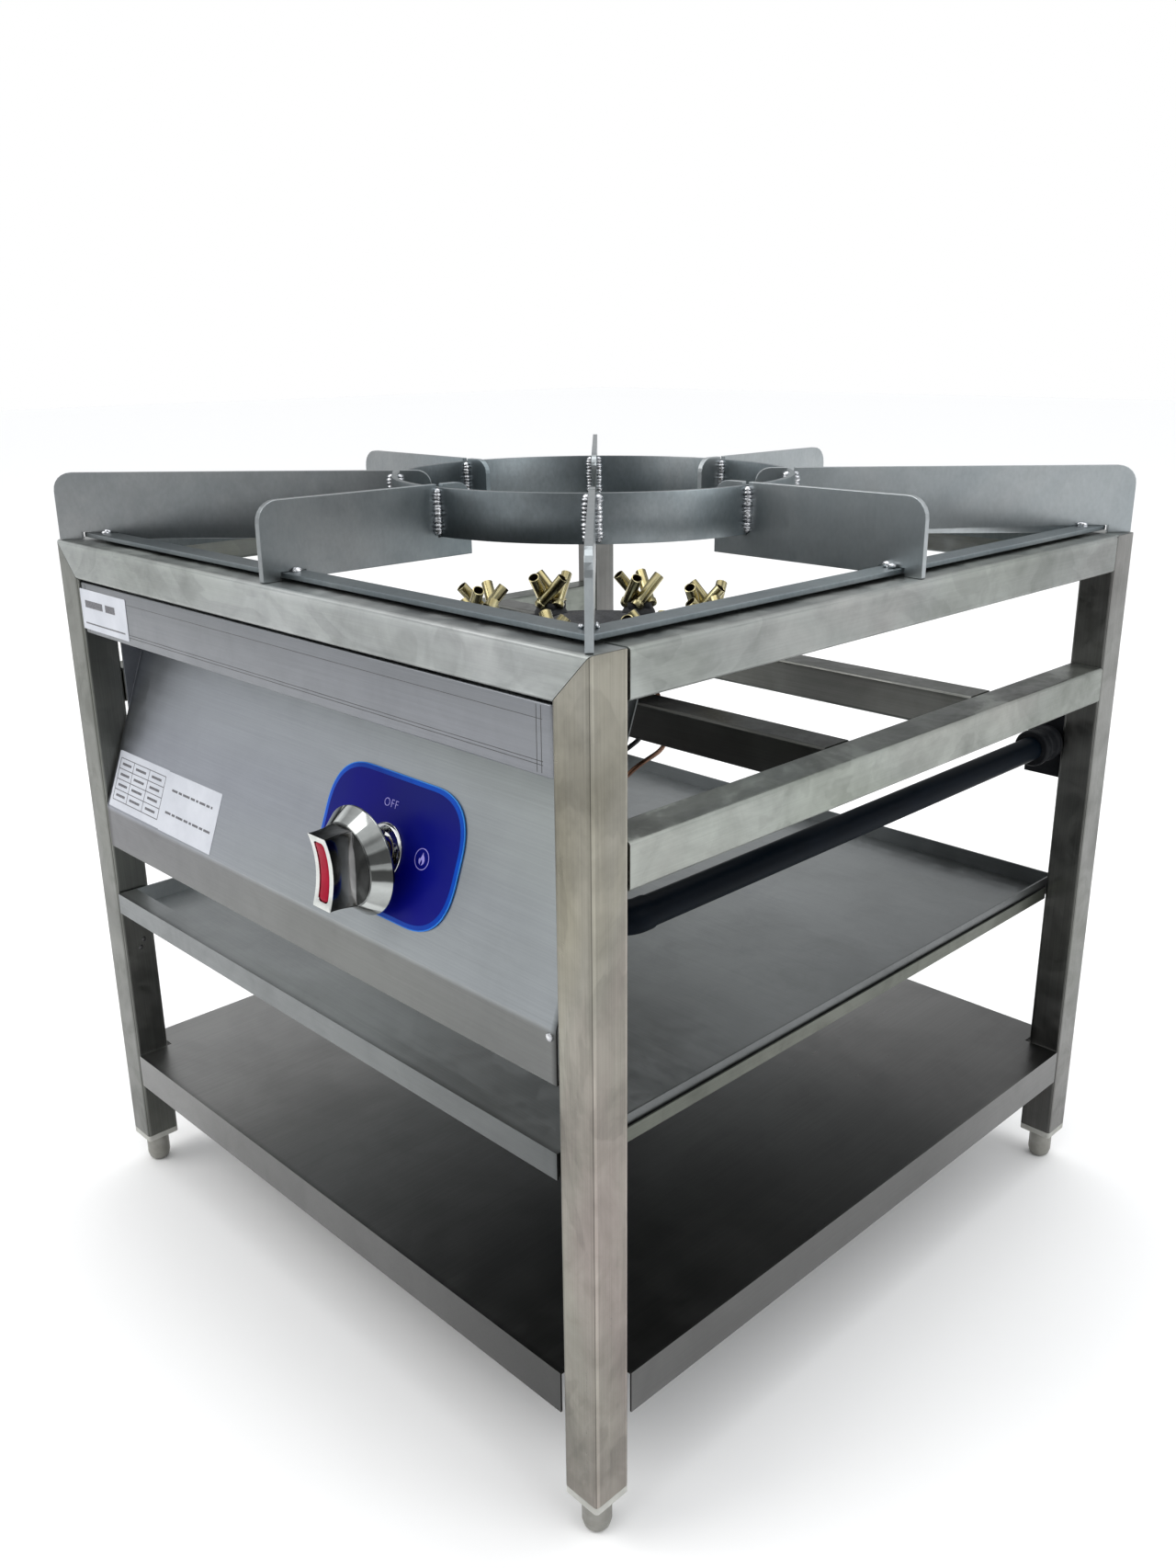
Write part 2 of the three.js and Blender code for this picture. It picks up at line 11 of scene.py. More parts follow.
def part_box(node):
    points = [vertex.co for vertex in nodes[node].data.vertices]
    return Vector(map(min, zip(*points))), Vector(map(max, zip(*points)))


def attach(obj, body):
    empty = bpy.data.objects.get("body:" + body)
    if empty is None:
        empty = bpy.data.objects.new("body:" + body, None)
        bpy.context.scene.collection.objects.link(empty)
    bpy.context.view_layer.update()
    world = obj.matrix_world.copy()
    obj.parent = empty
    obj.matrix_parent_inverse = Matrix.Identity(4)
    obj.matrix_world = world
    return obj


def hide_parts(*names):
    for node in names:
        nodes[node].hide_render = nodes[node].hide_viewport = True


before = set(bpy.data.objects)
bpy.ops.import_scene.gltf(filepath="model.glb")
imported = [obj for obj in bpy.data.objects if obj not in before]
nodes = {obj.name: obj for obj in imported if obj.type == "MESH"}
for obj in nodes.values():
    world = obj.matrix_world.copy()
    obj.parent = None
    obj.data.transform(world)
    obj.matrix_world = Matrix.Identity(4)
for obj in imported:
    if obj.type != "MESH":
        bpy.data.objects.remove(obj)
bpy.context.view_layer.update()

MM = 0.001
HALF = 265.0
INNER = 240.0
LEG_AXIS = 252.5
TOP = 498.0
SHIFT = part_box("leg_front_left")[0][1] / MM + HALF
WORLD = Matrix.Scale(MM, 4) @ Matrix.Translation((0, SHIFT, 0))

PANEL_SLOPE = math.radians(20)
PANEL_UP = Vector((0, math.sin(PANEL_SLOPE), math.cos(PANEL_SLOPE)))
PANEL_OUT = Vector((0, -math.cos(PANEL_SLOPE), math.sin(PANEL_SLOPE)))
PANEL_FOOT = (0, -264.5, 308)
PANEL = Matrix.Translation(PANEL_FOOT) @ Matrix((
    (1, PANEL_UP.x, PANEL_OUT.x, 0),
    (0, PANEL_UP.y, PANEL_OUT.y, 0),
    (0, PANEL_UP.z, PANEL_OUT.z, 0),
    (0, 0, 0, 1),
))
DIAL = PANEL @ Matrix.Translation((83, 54, 0))
AXIS_ON_DIAL = Matrix.Translation((-1, -4.9, 0))
KNOB = Matrix(((1, 0, 0, 82), (0, 0, -1, -247.707), (0, 1, 0, 354.139), (0, 0, 0, 1)))
GRIP_TOP, GRIP_DISH, GRIP_HALF = 44.4, 3.7, 21.2
FEED = Vector((82, -208.4, 345.06))
PIPE_X = 230

JET_HEADS = 8
JETS_PER_HEAD = 4
JET_RING_R = 88
HEAD_Z = 431.3
JET_LEAN = math.radians(41)
RING_IN, RING_OUT = 75, 101
HUB_R = 34

SUPPORT_R_IN, SUPPORT_R_OUT = 133, 137
SUPPORT_LOW, SUPPORT_TOP = 511.5, 541.5
SUPPORT_HALF = 243

CAMERA_PLACE = (662.741, -654.835, 625.217)
CAMERA_DEGREES = (45.456, 18.448, -0.462)


# ---- camera, light and floor ----

def make_camera():
    yaw, pitch, roll = (math.radians(angle) for angle in CAMERA_DEGREES)
    forward = Vector((-math.sin(yaw) * math.cos(pitch), math.cos(yaw) * math.cos(pitch), -math.sin(pitch)))
    right = Vector((math.cos(yaw), math.sin(yaw), 0))
    up = right.cross(forward)
    right, up = (right * math.cos(roll) + up * math.sin(roll), up * math.cos(roll) - right * math.sin(roll))
    data = bpy.data.cameras.new("camera")
    data.lens = 30.554
    data.sensor_width = 36
    data.shift_x = -0.0032
    data.shift_y = 0.0016
    data.clip_start = 0.01
    data.clip_end = 100
    camera = bpy.data.objects.new("camera", data)
    turn = Matrix((right, up, -forward)).transposed().to_4x4()
    camera.matrix_world = Matrix.Translation(WORLD @ Vector(CAMERA_PLACE)) @ turn
    bpy.context.scene.collection.objects.link(camera)
    bpy.context.scene.camera = camera


def area_light(name, place, target, size, power, colour):
    data = bpy.data.lights.new(name, "AREA")
    data.shape = "RECTANGLE"
    data.size, data.size_y = size
    data.energy = power
    data.color = colour
    light = bpy.data.objects.new(name, data)
    light.location = place
    light.rotation_euler = (Vector(target) - Vector(place)).to_track_quat("-Z", "Y").to_euler()
    bpy.context.scene.collection.objects.link(light)


def make_world():
    """A bright room: paler overhead, two darker patches, and plain white where nothing stands."""
    world = bpy.data.worlds.new("studio")
    bpy.context.scene.world = world
    world.use_nodes = True
    sky = Nodes(world.node_tree)
    sky.tree.nodes.clear()
    toward = sky.node("TexCoord").outputs["Generated"]
    split = sky.node("SeparateXYZ")
    sky.join(toward, split.inputs[0])
    shade = sky.ramp(split.outputs["Z"], [(0.0, (0.8, 0.81, 0.82)), (0.85, (1.33, 1.34, 1.35))])
    for middle, start, end, depth in (((0.62, -0.74, 0.25), 0.8, 0.92, 0.3), ((-0.68, 0.67, 0.3), 0.6, 0.9, 0.55)):
        aim = sky.node("VectorMath", operation="DOT_PRODUCT")
        aim.inputs[1].default_value = Vector(middle).normalized()
        sky.join(toward, aim.inputs[0])
        shade = sky.tint(shade, aim.outputs["Value"], [(start, 1.0), (end, depth)])
    seen = sky.node("LightPath").outputs["Is Camera Ray"]
    back = sky.node("Background")
    sky.join(sky.mix("MIX", seen, shade, (1, 1, 1)), back.inputs["Color"])
    sky.join(back.outputs[0], sky.node("OutputWorld").inputs["Surface"])


def make_floor():
    reach = 14.0
    corners = [(-reach, -reach, 0), (reach, -reach, 0), (reach, reach, 0), (-reach, reach, 0)]
    mesh = bpy.data.meshes.new("floor")
    mesh.from_pydata(corners, [], [(0, 1, 2, 3)])
    floor = bpy.data.objects.new("floor", mesh)
    floor.location.z = -0.0002
    bpy.context.scene.collection.objects.link(floor)
    paint = bpy.data.materials.new("floor")
    paint.use_nodes = True
    shader = paint.node_tree.nodes["Principled BSDF"]
    shader.inputs["Base Color"].default_value = (0.93, 0.93, 0.93, 1)
    shader.inputs["Roughness"].default_value = 0.9
    shader.inputs["Specular IOR Level"].default_value = 0.1
    mesh.materials.append(paint)


def make_stage():
    scene = bpy.context.scene
    scene.view_settings.view_transform = "Standard"
    scene.view_settings.look = "None"
    middle = (0, 0, 0.3)
    area_light("key", (-1.2, -2.2, 2.6), middle, (1.6, 1.6), 26, (1, 0.99, 0.97))
    area_light("fill", (2.6, 0.6, 2.0), middle, (1.4, 1.8), 16, (0.97, 0.99, 1))
    area_light("top", (-0.3, 0.5, 3.2), middle, (2.2, 2.2), 24, (1, 1, 1))
    make_world()
    make_floor()


# ---- materials ----

class Nodes:
    """The few nodes that patterns are made of, in one node tree."""

    def __init__(self, tree):
        self.tree = tree

    def node(self, kind, **settings):
        made = self.tree.nodes.new("ShaderNode" + kind)
        for key, value in settings.items():
            setattr(made, key, value)
        return made

    def join(self, source, target):
        self.tree.links.new(source, target)

    def ramp(self, value, stops):
        """Each stop is a place on the ramp and a grey or a colour."""
        made = self.node("ValToRGB")
        elements = made.color_ramp.elements
        while len(elements) < len(stops):
            elements.new(0.5)
        for element, (position, colour) in zip(elements, stops):
            element.position = position
            element.color = (*colour, 1) if not isinstance(colour, float) else (colour, colour, colour, 1)
        self.join(value, made.inputs[0])
        return made.outputs[0]

    def mix(self, kind, factor, a, b):
        made = self.node("Mix", data_type="RGBA", blend_type=kind)
        for value, slot in ((factor, made.inputs["Factor"]), (a, made.inputs[6]), (b, made.inputs[7])):
            if isinstance(value, (float, int)):
                slot.default_value = value
            elif isinstance(value, tuple):
                slot.default_value = (*value, 1)
            else:
                self.join(value, slot)
        return made.outputs[2]

    def tint(self, colour, value, stops):
        return self.mix("MULTIPLY", 1.0, colour, self.ramp(value, stops))


class Paint(Nodes):
    """A material. Its patterns run in the object's own metres."""

    def __init__(self, name, rough=0.4, metal=0.0, gloss=None):
        self.material = bpy.data.materials.new(name)
        self.material.use_nodes = True
        super().__init__(self.material.node_tree)
        self.shader = self.tree.nodes["Principled BSDF"]
        self.shader.inputs["Roughness"].default_value = rough
        self.shader.inputs["Metallic"].default_value = metal
        if gloss is not None:
            self.shader.inputs["Specular IOR Level"].default_value = gloss
        self.place = self.node("TexCoord").outputs["Object"]

    def axes(self):
        split = self.node("SeparateXYZ")
        self.join(self.place, split.inputs[0])
        return split.outputs

    def turn(self):
        """The share of a turn about the object's own upright axis."""
        sweep = self.node("TexGradient", gradient_type="RADIAL")
        self.join(self.place, sweep.inputs[0])
        return sweep.outputs["Fac"]

    def noise(self, scale, detail=3.0, stretch=(1, 1, 1), rough=0.55, shift=(0, 0, 0), warp=0.0):
        mapping = self.node("Mapping")
        mapping.inputs["Scale"].default_value = stretch
        mapping.inputs["Location"].default_value = shift
        self.join(self.place, mapping.inputs["Vector"])
        texture = self.node("TexNoise")
        texture.inputs["Scale"].default_value = scale
        texture.inputs["Detail"].default_value = detail
        texture.inputs["Roughness"].default_value = rough
        texture.inputs["Distortion"].default_value = warp
        self.join(mapping.outputs[0], texture.inputs["Vector"])
        return texture.outputs["Fac"]

    def math(self, kind, *values):
        made = self.node("Math", operation=kind)
        for value, slot in zip(values, made.inputs):
            if isinstance(value, (float, int)):
                slot.default_value = value
            else:
                self.join(value, slot)
        return made.outputs[0]

    def bump(self, height, strength, distance, onto=None):
        made = self.node("Bump")
        made.inputs["Strength"].default_value = strength
        made.inputs["Distance"].default_value = distance
        self.join(height, made.inputs["Height"])
        if onto is not None:
            self.join(onto, made.inputs["Normal"])
        return made.outputs[0]

    def finish(self, colour, rough, normal=None):
        self.join(colour, self.shader.inputs["Base Color"])
        self.join(rough, self.shader.inputs["Roughness"])
        if normal is not None:
            self.join(normal, self.shader.inputs["Normal"])
        return self.material


def steel(name, along, tones, rough, grain, cloud, smudge, shift, dirt, marks_and_light_painted=None):
    """Brushed stainless: fine grain along one axis, slow clouds of tint, finger smudges and fine scratches."""
    p = Paint(name, rough, 1.0)

    def stretched(others, own):
        scale = [others] * 3
        scale[along] = own
        return scale

    hairs = p.noise(1.0, 2.0, stretched(1150.0, 14.0))
    bands = p.noise(1.0, 2.0, stretched(210.0, 3.0))
    clouds = p.noise(cloud, 3.0, stretched(1.0, 0.38), shift=(shift, shift * 0.7, 0.3), warp=0.6)
    marks = p.noise(34.0, 7.0, rough=0.68, warp=1.2)
    spots = p.noise(11.0, 5.0, rough=0.6, shift=(3.1, 1.7, 0.4), warp=0.4)
    colour = p.ramp(clouds, [(0.32, tones[0]), (0.52, tones[1]), (0.7, tones[2])])
    colour = p.tint(colour, hairs, [(0.25, 1 - grain), (0.75, 1.0 + grain * 0.5)])
    colour = p.tint(colour, bands, [(0.3, 1 - grain * 0.55), (0.7, 1.0)])
    colour = p.tint(colour, spots, [(0.36, dirt), (0.56, 1.0)])
    # painted light and shade by place, with water marks on some parts
    if marks_and_light_painted:
        colour = marks_and_light_painted(p, colour)
    level = p.math("MULTIPLY_ADD", p.ramp(marks, [(0.42, 0.0), (0.68, 1.0)]), smudge, rough)
    level = p.math("ADD", level, p.math("MULTIPLY", bands, 0.09))
    normal = p.bump(hairs, 0.32, 0.00004)
    return p.finish(colour, level, p.bump(spots, 0.2, 0.0004, normal))


def corner_light_painted(p, colour):
    """Painted highlight and painted shade on the tube's rounded long edges: a dark half towards the front and back, a
    bright half towards the sides.
    """
    def off_axis(place):
        return p.math("ABSOLUTE", p.math("SUBTRACT", p.math("ABSOLUTE", place), LEG_AXIS * MM))

    flat_half = 0.0099
    where = p.axes()
    across = off_axis(where["X"])
    deep = off_axis(p.math("SUBTRACT", where["Y"], SHIFT * MM))
    arc = p.math("MULTIPLY", p.math("GREATER_THAN", across, flat_half), p.math("GREATER_THAN", deep, flat_half))
    lean = p.math("MULTIPLY_ADD", p.math("SUBTRACT", deep, across), 900.0, 0.5)
    # painted highlight and painted shade across the rounded edge
    edge = p.ramp(lean, [(0.1, 1.25), (0.3, 1.0), (0.42, 0.5), (0.8, 0.42), (0.97, 0.9)])
    return p.mix("MULTIPLY", arc, colour, edge)


def toned(p, colour, axis, *stops):
    """The tone changes along one axis. Each stop is a place in stand millimetres and a share or a colour."""
    low = (-300, -300, 0)[axis]
    start = low + (SHIFT if axis == 1 else 0)
    level = p.math("SUBTRACT", p.axes()["XYZ"[axis]], start * MM)
    return p.tint(colour, level, [((at - low) * MM, share) for at, share in stops])


def leaning(p, colour, *stops):
    """Painted light and shade: the tone changes from the front left of the stand to its back right."""
    where = p.axes()
    level = p.math("ADD", where["X"], p.math("SUBTRACT", where["Y"], (SHIFT - 500) * MM))
    return p.tint(colour, level, [((at + 500) * MM, share) for at, share in stops])


def watermarks(p, colour, stretch, shift):
    """Dried water and polish left in patches with clear outlines, and softer streaks inside them."""
    patch = p.noise(13.0, 3.0, stretch, 0.5, shift, 1.3)
    colour = p.tint(colour, patch, [(0.3, 0.9), (0.41, 0.95), (0.425, 1.04), (0.55, 1.0), (0.565, 0.88), (0.7, 0.94)])
    faint = p.noise(38.0, 5.0, stretch, 0.65, (shift[1], shift[0], 0.8), 1.0)
    return p.tint(colour, faint, [(0.35, 0.9), (0.5, 1.0), (0.64, 1.06)])


def rail_edge_light_painted(p, colour):
    """Top rails: a painted reflection, darker on top where it mirrors the dark parts above, with a painted highlight
    line and a thin painted shade line along the rounded edge.
    """
    return toned(p, colour, 2, (494.4, 1.0), (495.1, 0.62), (495.7, 0.7), (496.1, 1.22), (497.5, 1.2), (497.8, 0.74))


def rail_x(p, colour):
    return rail_edge_light_painted(p, watermarks(p, colour, (0.6, 1, 1), (0.2, 0.1, 0.5)))


def rail_y(p, colour):
    # painted shade: darker towards the far end
    colour = toned(p, colour, 1, (-240, 1.05), (0, 1.0), (240, 0.84))
    return rail_edge_light_painted(p, watermarks(p, colour, (1, 0.6, 1), (0.7, 0.3, 0.1)))


def mid_rail(p, colour):
    """Side faces as the top rails, with painted shade towards the far end and a thin painted shade line and a painted
    highlight line along the top edge. The top face carries a painted reflection of the dark burner and bars above it,
    in clouds.
    """
    colour = watermarks(p, colour, (1, 0.6, 1), (1.4, 0.2, 0.6))
    # painted shade: darker towards the far end
    colour = toned(p, colour, 1, (-240, 1.05), (0, 0.98), (240, 0.8))
    clouds = p.noise(9.0, 4.0, (1, 0.7, 1), 0.6, warp=1.6)
    # painted reflection of the dark burner and bars on the top face
    top_reflection_painted = p.tint(colour, clouds, [(0.4, 0.42), (0.5, 0.62), (0.53, 0.92), (0.66, 1.1)])
    top = p.math("GREATER_THAN", p.axes()["Z"], 0.4057)
    colour = p.mix("MIX", top, colour, top_reflection_painted)
    # painted shade line and painted highlight line along the rounded top edge
    return toned(p, colour, 2, (402.6, 1.0), (403.2, 0.66), (403.8, 0.72), (404.2, 1.2), (405.4, 1.2), (405.7, 1.0))


def near_leg(p, colour):
    colour = corner_light_painted(p, watermarks(p, colour, (1, 1, 0.5), (0.4, 0.9, 0.2)))
    # painted shade: darker towards the top
    return toned(p, colour, 2, (200, 1.0), (460, 0.9))


def back_bar_shade_painted(p, colour):
    # painted shade: the top face is darker than the front face
    return toned(p, colour, 2, (405.2, 1.0), (405.8, 0.47))


def far_leg_shade_painted(p, colour):
    """Painted shade: the faces turned inwards are darker, and the legs darker towards the bottom; the rounded edges
    carry a painted highlight and shade.
    """
    colour = corner_light_painted(p, colour)
    colour = toned(p, colour, 0, (-240.3, 1.0), (-239.7, 0.55), (239.7, 0.55), (240.3, 1.0))
    colour = toned(p, colour, 1, (-240.3, 1.0), (-239.7, 0.6), (239.7, 0.6), (240.3, 1.0))
    return toned(p, colour, 2, (60, 0.86), (480, 1.0))


def panel_light_painted(p, colour):
    """Painted reflection and shade: the lip below the bend is darker and browner than the slope, as it mirrors the
    floor, the side cheeks are darker with painted shade, and the sheet is warmer to the right.
    """
    colour = toned(p, colour, 0, (-237.7, 0.16), (-237.3, 1.0), (237.3, 1.0), (237.7, 0.3))
    colour = toned(p, colour, 0, (-200, (1.0, 1.0, 1.02)), (200, (0.97, 0.99, 0.93)))
    return toned(p, colour, 2, (307.2, (0.54, 0.52, 0.49)), (308.4, 1.0))


def tray_light_painted(p, colour):
    # painted reflection and shade: lighter to the left, darker to the right and at the back, and the front face darker
    colour = toned(p, colour, 0, (-239, 1.12), (90, 1.1), (180, 0.85), (237.2, 0.72), (238.2, 0.5))
    return toned(p, colour, 1, (-264.6, 0.66), (-264.2, 1.1), (-240, 1.1), (-200, 1.0), (200, 1.0), (250, 0.85))


def shelf_reflection_painted(p, colour):
    # painted reflection: lighter to the left, darker to the right where it mirrors the dark underside of the tray; the
    # front face darker and the back lighter
    colour = toned(p, colour, 0, (-240, 1.38), (-50, 1.02), (90, 0.84), (160, 0.6), (210, 0.46), (263.6, 0.42),
                   (264.6, 0.62))
    return toned(p, colour, 1, (-264.7, 0.66), (-264.2, 1.0), (60, 1.0), (200, 1.3))


def scaled(tones, share):
    shares = share if isinstance(share, tuple) else (share,) * 3
    return [tuple(c * k for c, k in zip(tone, shares)) for tone in tones]


def steels():
    """Rows: grain axis, tones, roughness, grain, cloud scale, smudges, shift, dirt, and the painted light and shade by
    place.
    """
    plain = ((0.3, 0.308, 0.28), (0.345, 0.348, 0.332), (0.372, 0.358, 0.345))
    # painted reflection: warm brownish tones that the near leg mirrors from the floor
    warm_reflection_tones = ((0.325, 0.3, 0.225), (0.35, 0.33, 0.275), (0.33, 0.285, 0.25))
    cool = ((0.315, 0.325, 0.37), (0.345, 0.36, 0.38), (0.34, 0.36, 0.355))
    basin = ((0.26, 0.275, 0.275), (0.29, 0.305, 0.31), (0.27, 0.285, 0.29))
    level = ((0.225, 0.225, 0.22), (0.25, 0.25, 0.247), (0.235, 0.235, 0.23))
    dark = ((0.1, 0.1, 0.1), (0.12, 0.12, 0.12), (0.11, 0.11, 0.11))
    # Painted light and shade: several rows are lighter or darker copies of one steel, for how light falls on each
    # part: the front and back rails lighter and bluer, the front burner bar, the far legs and the front strip darker.
    rows = {
        "tube_x": (0, scaled(plain, (1.08, 1.12, 1.16)), 0.27, 0.06, 9.0, 0.2, 0.0, 0.84, rail_x),
        "tube_y": (1, scaled(plain, (0.95, 0.99, 1.0)), 0.27, 0.06, 9.0, 0.2, 1.3, 0.82, rail_y),
        "rail_mid": (1, scaled(plain, (0.93, 0.98, 0.95)), 0.27, 0.06, 9.0, 0.2, 4.2, 0.8, mid_rail),
        "runner": (1, scaled(plain, (0.42, 0.44, 0.4)), 0.3, 0.09, 9.0, 0.2, 1.8, 0.8),
        "bar": (0, scaled(plain, 0.17), 0.3, 0.12, 7.0, 0.17, 0.6, 0.8),
        "bar_back": (0, scaled(plain, 0.95), 0.28, 0.12, 7.0, 0.17, 0.6, 0.8, back_bar_shade_painted),
        "leg": (2, scaled(warm_reflection_tones, (0.92, 0.94, 0.98)), 0.24, 0.11, 10.0, 0.22, 2.2, 0.74, near_leg),
        "leg_far_shaded": (2, scaled(plain, 0.68), 0.25, 0.14, 9.0, 0.2, 2.2, 0.78, far_leg_shade_painted),
        "sheet": (0, scaled(cool, (0.99, 1.0, 0.985)), 0.33, 0.07, 3.0, 0.08, 0.4, 0.94, panel_light_painted),
        "strip": (0, scaled(cool, 0.665), 0.33, 0.07, 3.0, 0.08, 0.4, 0.94),
        "tray": (0, basin, 0.28, 0.08, 3.5, 0.12, 1.1, 0.88, tray_light_painted),
        "shelf": (1, level, 0.25, 0.08, 3.0, 0.08, 0.9, 0.86, shelf_reflection_painted),
        "cheek": (2, dark, 0.4, 0.1, 4.0, 0.1, 0.9, 0.9),
    }
    return {name: steel(name, *row) for name, row in rows.items()}


def flat_bar(name, tones, grain, *lean):
    """Mill finish, with fine pitting, a slow change of tone, and painted light and shade from the front left to the
    back right.
    """
    p = Paint(name, 0.36, 1.0)
    clouds = p.noise(7.0, 4.0, (1, 1, 1), 0.6, warp=0.8)
    fine = p.noise(420.0, 4.0, (1, 1, 0.6), 0.6)
    scale = p.noise(55.0, 6.0, (1, 1, 0.8), 0.7)
    colour = p.ramp(clouds, list(zip((0.3, 0.5, 0.72), tones)))
    colour = p.tint(colour, fine, [(0.3, grain), (0.7, 1.03)])
    colour = p.tint(colour, scale, [(0.35, grain), (0.6, 1.0)])
    level = p.ramp(scale, [(0.3, 0.4), (0.7, 0.3)])
    normal = p.bump(scale, 0.2, 0.0003, p.bump(fine, 0.2, 0.00006))
    return p.finish(leaning(p, colour, *lean), level, normal)


def flat_bars():
    fin = ((0.3, 0.33, 0.345), (0.345, 0.37, 0.38), (0.40, 0.415, 0.42))
    bare = ((0.19, 0.225, 0.245), (0.245, 0.28, 0.295), (0.325, 0.35, 0.36))
    # painted light and shade, darker at the front left and lighter at the back right
    fin_light_painted = ((-330, 0.7), (-200, 0.78), (-110, (0.8, 0.87, 0.9)), (-20, 0.98), (100, 1.15), (330, 1.2))
    return {
        "fin": flat_bar("fin", fin, 0.93, *fin_light_painted),
        "bare": flat_bar("bare", bare, 0.88, (-150, 0.78), (-20, 0.88), (120, 1.02)),
    }


def weld_metal():
    p = Paint("weld", 0.2, 1.0)
    fine = p.noise(900.0, 4.0)
    lumps = p.noise(260.0, 3.0, warp=0.5)
    colour = p.ramp(lumps, [(0.3, (0.3, 0.31, 0.33)), (0.55, (0.56, 0.57, 0.59)), (0.75, (0.8, 0.8, 0.82))])
    return p.finish(colour, p.ramp(fine, [(0.3, 0.14), (0.7, 0.32)]), p.bump(lumps, 0.5, 0.0005))


def cast_iron():
    p = Paint("iron", 0.62, 0.15)
    sand = p.noise(850.0, 4.0)
    lumps = p.noise(120.0, 4.0)
    colour = p.ramp(lumps, [(0.3, (0.008, 0.0085, 0.01)), (0.7, (0.022, 0.023, 0.027))])
    normal = p.bump(sand, 0.5, 0.0003, p.bump(lumps, 0.3, 0.0006))
    return p.finish(colour, p.ramp(sand, [(0.3, 0.5), (0.7, 0.72)]), normal)


def turned_brass():
    """Painted highlights and shade: light and dark streaks run along the jet, the same on each half of it."""
    p = Paint("brass", 0.2, 1.0)
    turning = p.noise(1.0, 2.0, (160, 160, 2400))
    tarnish = p.noise(70.0, 5.0, warp=0.7)
    colour = p.ramp(tarnish, [(0.3, (0.45, 0.38, 0.19)), (0.5, (0.54, 0.48, 0.27)), (0.72, (0.62, 0.57, 0.36))])
    colour = p.tint(colour, turning, [(0.3, 0.93), (0.7, 1.0)])
    half = ((0.0, 0.5), (0.06, 0.16), (0.12, 0.9), (0.17, 1.25), (0.22, 0.6), (0.31, 0.2), (0.38, 0.75), (0.44, 1.2))
    streaks = [(start + at, share) for start in (0.0, 0.5) for at, share in half] + [(1.0, 0.5)]
    # painted highlights and shade round the jet's axis
    colour = p.mix("MULTIPLY", 0.8, colour, p.ramp(p.turn(), streaks))
    return p.finish(colour, p.ramp(tarnish, [(0.3, 0.26), (0.7, 0.16)]), p.bump(turning, 0.1, 0.00002))


def black_paint(name, low, high, gloss):
    p = Paint(name, 0.45, 0.0, gloss)
    peel = p.noise(240.0, 3.0)
    dust = p.noise(36.0, 6.0, (1, 0.25, 1), 0.7)
    colour = p.ramp(dust, [(0.45, low), (0.75, high)])
    return p.finish(colour, p.ramp(dust, [(0.4, 0.38), (0.75, 0.55)]), p.bump(peel, 0.12, 0.0003))


def chrome(name, rough, haze_rough, tone, pits=None):
    """Polished metal under a thin haze. tone gives its colour, and on the knob its painted reflections."""
    p = Paint(name, rough, 1.0)
    haze = p.noise(90.0, 6.0, rough=0.7, warp=1.0)
    relief = p.noise(*pits) if pits else haze
    level = p.ramp(haze, [(0.4, haze_rough[0]), (0.75, haze_rough[1])])
    return p.finish(tone(p, haze), level, p.bump(relief, 0.03, 0.0002))


def plain_chrome(p, haze):
    return p.ramp(haze, [(0.35, (0.56, 0.57, 0.57)), (0.65, (0.66, 0.665, 0.66))])


def bezel_reflection_painted(p, haze):
    """Painted reflections: bands of light and dark round the cone, and a cloudy front face."""
    soft = p.noise(28.0, 3.0, warp=0.8)
    wander = p.math("ADD", p.turn(), p.math("MULTIPLY", p.math("SUBTRACT", soft, 0.5), 0.035))
    cone = p.ramp(wander, [
        (0.0, 0.4), (0.2, 0.14), (0.3, 0.2), (0.335, 0.24), (0.345, 0.78), (0.372, 0.72), (0.384, 0.4), (0.46, 0.46),
        (0.476, 0.34), (0.482, 0.05), (0.515, 0.04), (0.523, 0.28), (0.57, 0.2), (0.582, 0.8), (0.6, 0.74),
        (0.612, 0.3), (0.7, 0.36), (0.76, 0.22), (0.785, 0.7), (0.81, 0.66), (0.82, 0.1), (0.85, 0.5), (1.0, 0.4)])
    front = p.ramp(soft, [(0.35, 0.04), (0.5, 0.15), (0.66, 0.32)])
    on_front = p.math("GREATER_THAN", p.axes()["Z"], 0.02705)
    colour = p.mix("MIX", on_front, cone, front)
    return p.tint(colour, haze, [(0.35, (0.84, 0.88, 0.86)), (0.65, (0.97, 1.0, 0.98))])


def grip_reflection_painted(p, haze):
    """Painted reflections: dark flanks that lighten in patches, and a bright rim along the dished top."""
    soft = p.noise(38.0, 3.0, (1, 0.6, 1), warp=0.8)
    where = p.axes()
    dish = p.math("MULTIPLY", p.math("MULTIPLY", where["Y"], where["Y"]), 8.23)
    on_rim = p.math("GREATER_THAN", p.math("SUBTRACT", where["Z"], dish), 0.04045)
    flank = p.ramp(where["Z"], [(0.027, 0.14), (0.03, 0.2), (0.034, 0.2), (0.0375, 0.06), (0.044, 0.04)])
    flank = p.tint(flank, soft, [(0.35, 0.45), (0.62, 1.7)])
    return p.mix("MIX", on_rim, flank, p.ramp(haze, [(0.35, (0.5, 0.52, 0.5)), (0.65, (0.62, 0.63, 0.61))]))


def speckled(name, rough, metal, slow, tones, fine, levels, relief=None, gloss=None):
    """Paint, plastic, print or casting: slow patches of tone, with a fine grain in the gloss and the surface."""
    p = Paint(name, rough, metal, gloss)
    patches = p.noise(*slow)
    grain = p.noise(*fine) if fine else patches
    normal = p.bump(grain, *relief) if relief else None
    return p.finish(p.ramp(patches, tones), p.ramp(grain, [(0.3, levels[0]), (0.7, levels[1])]), normal)


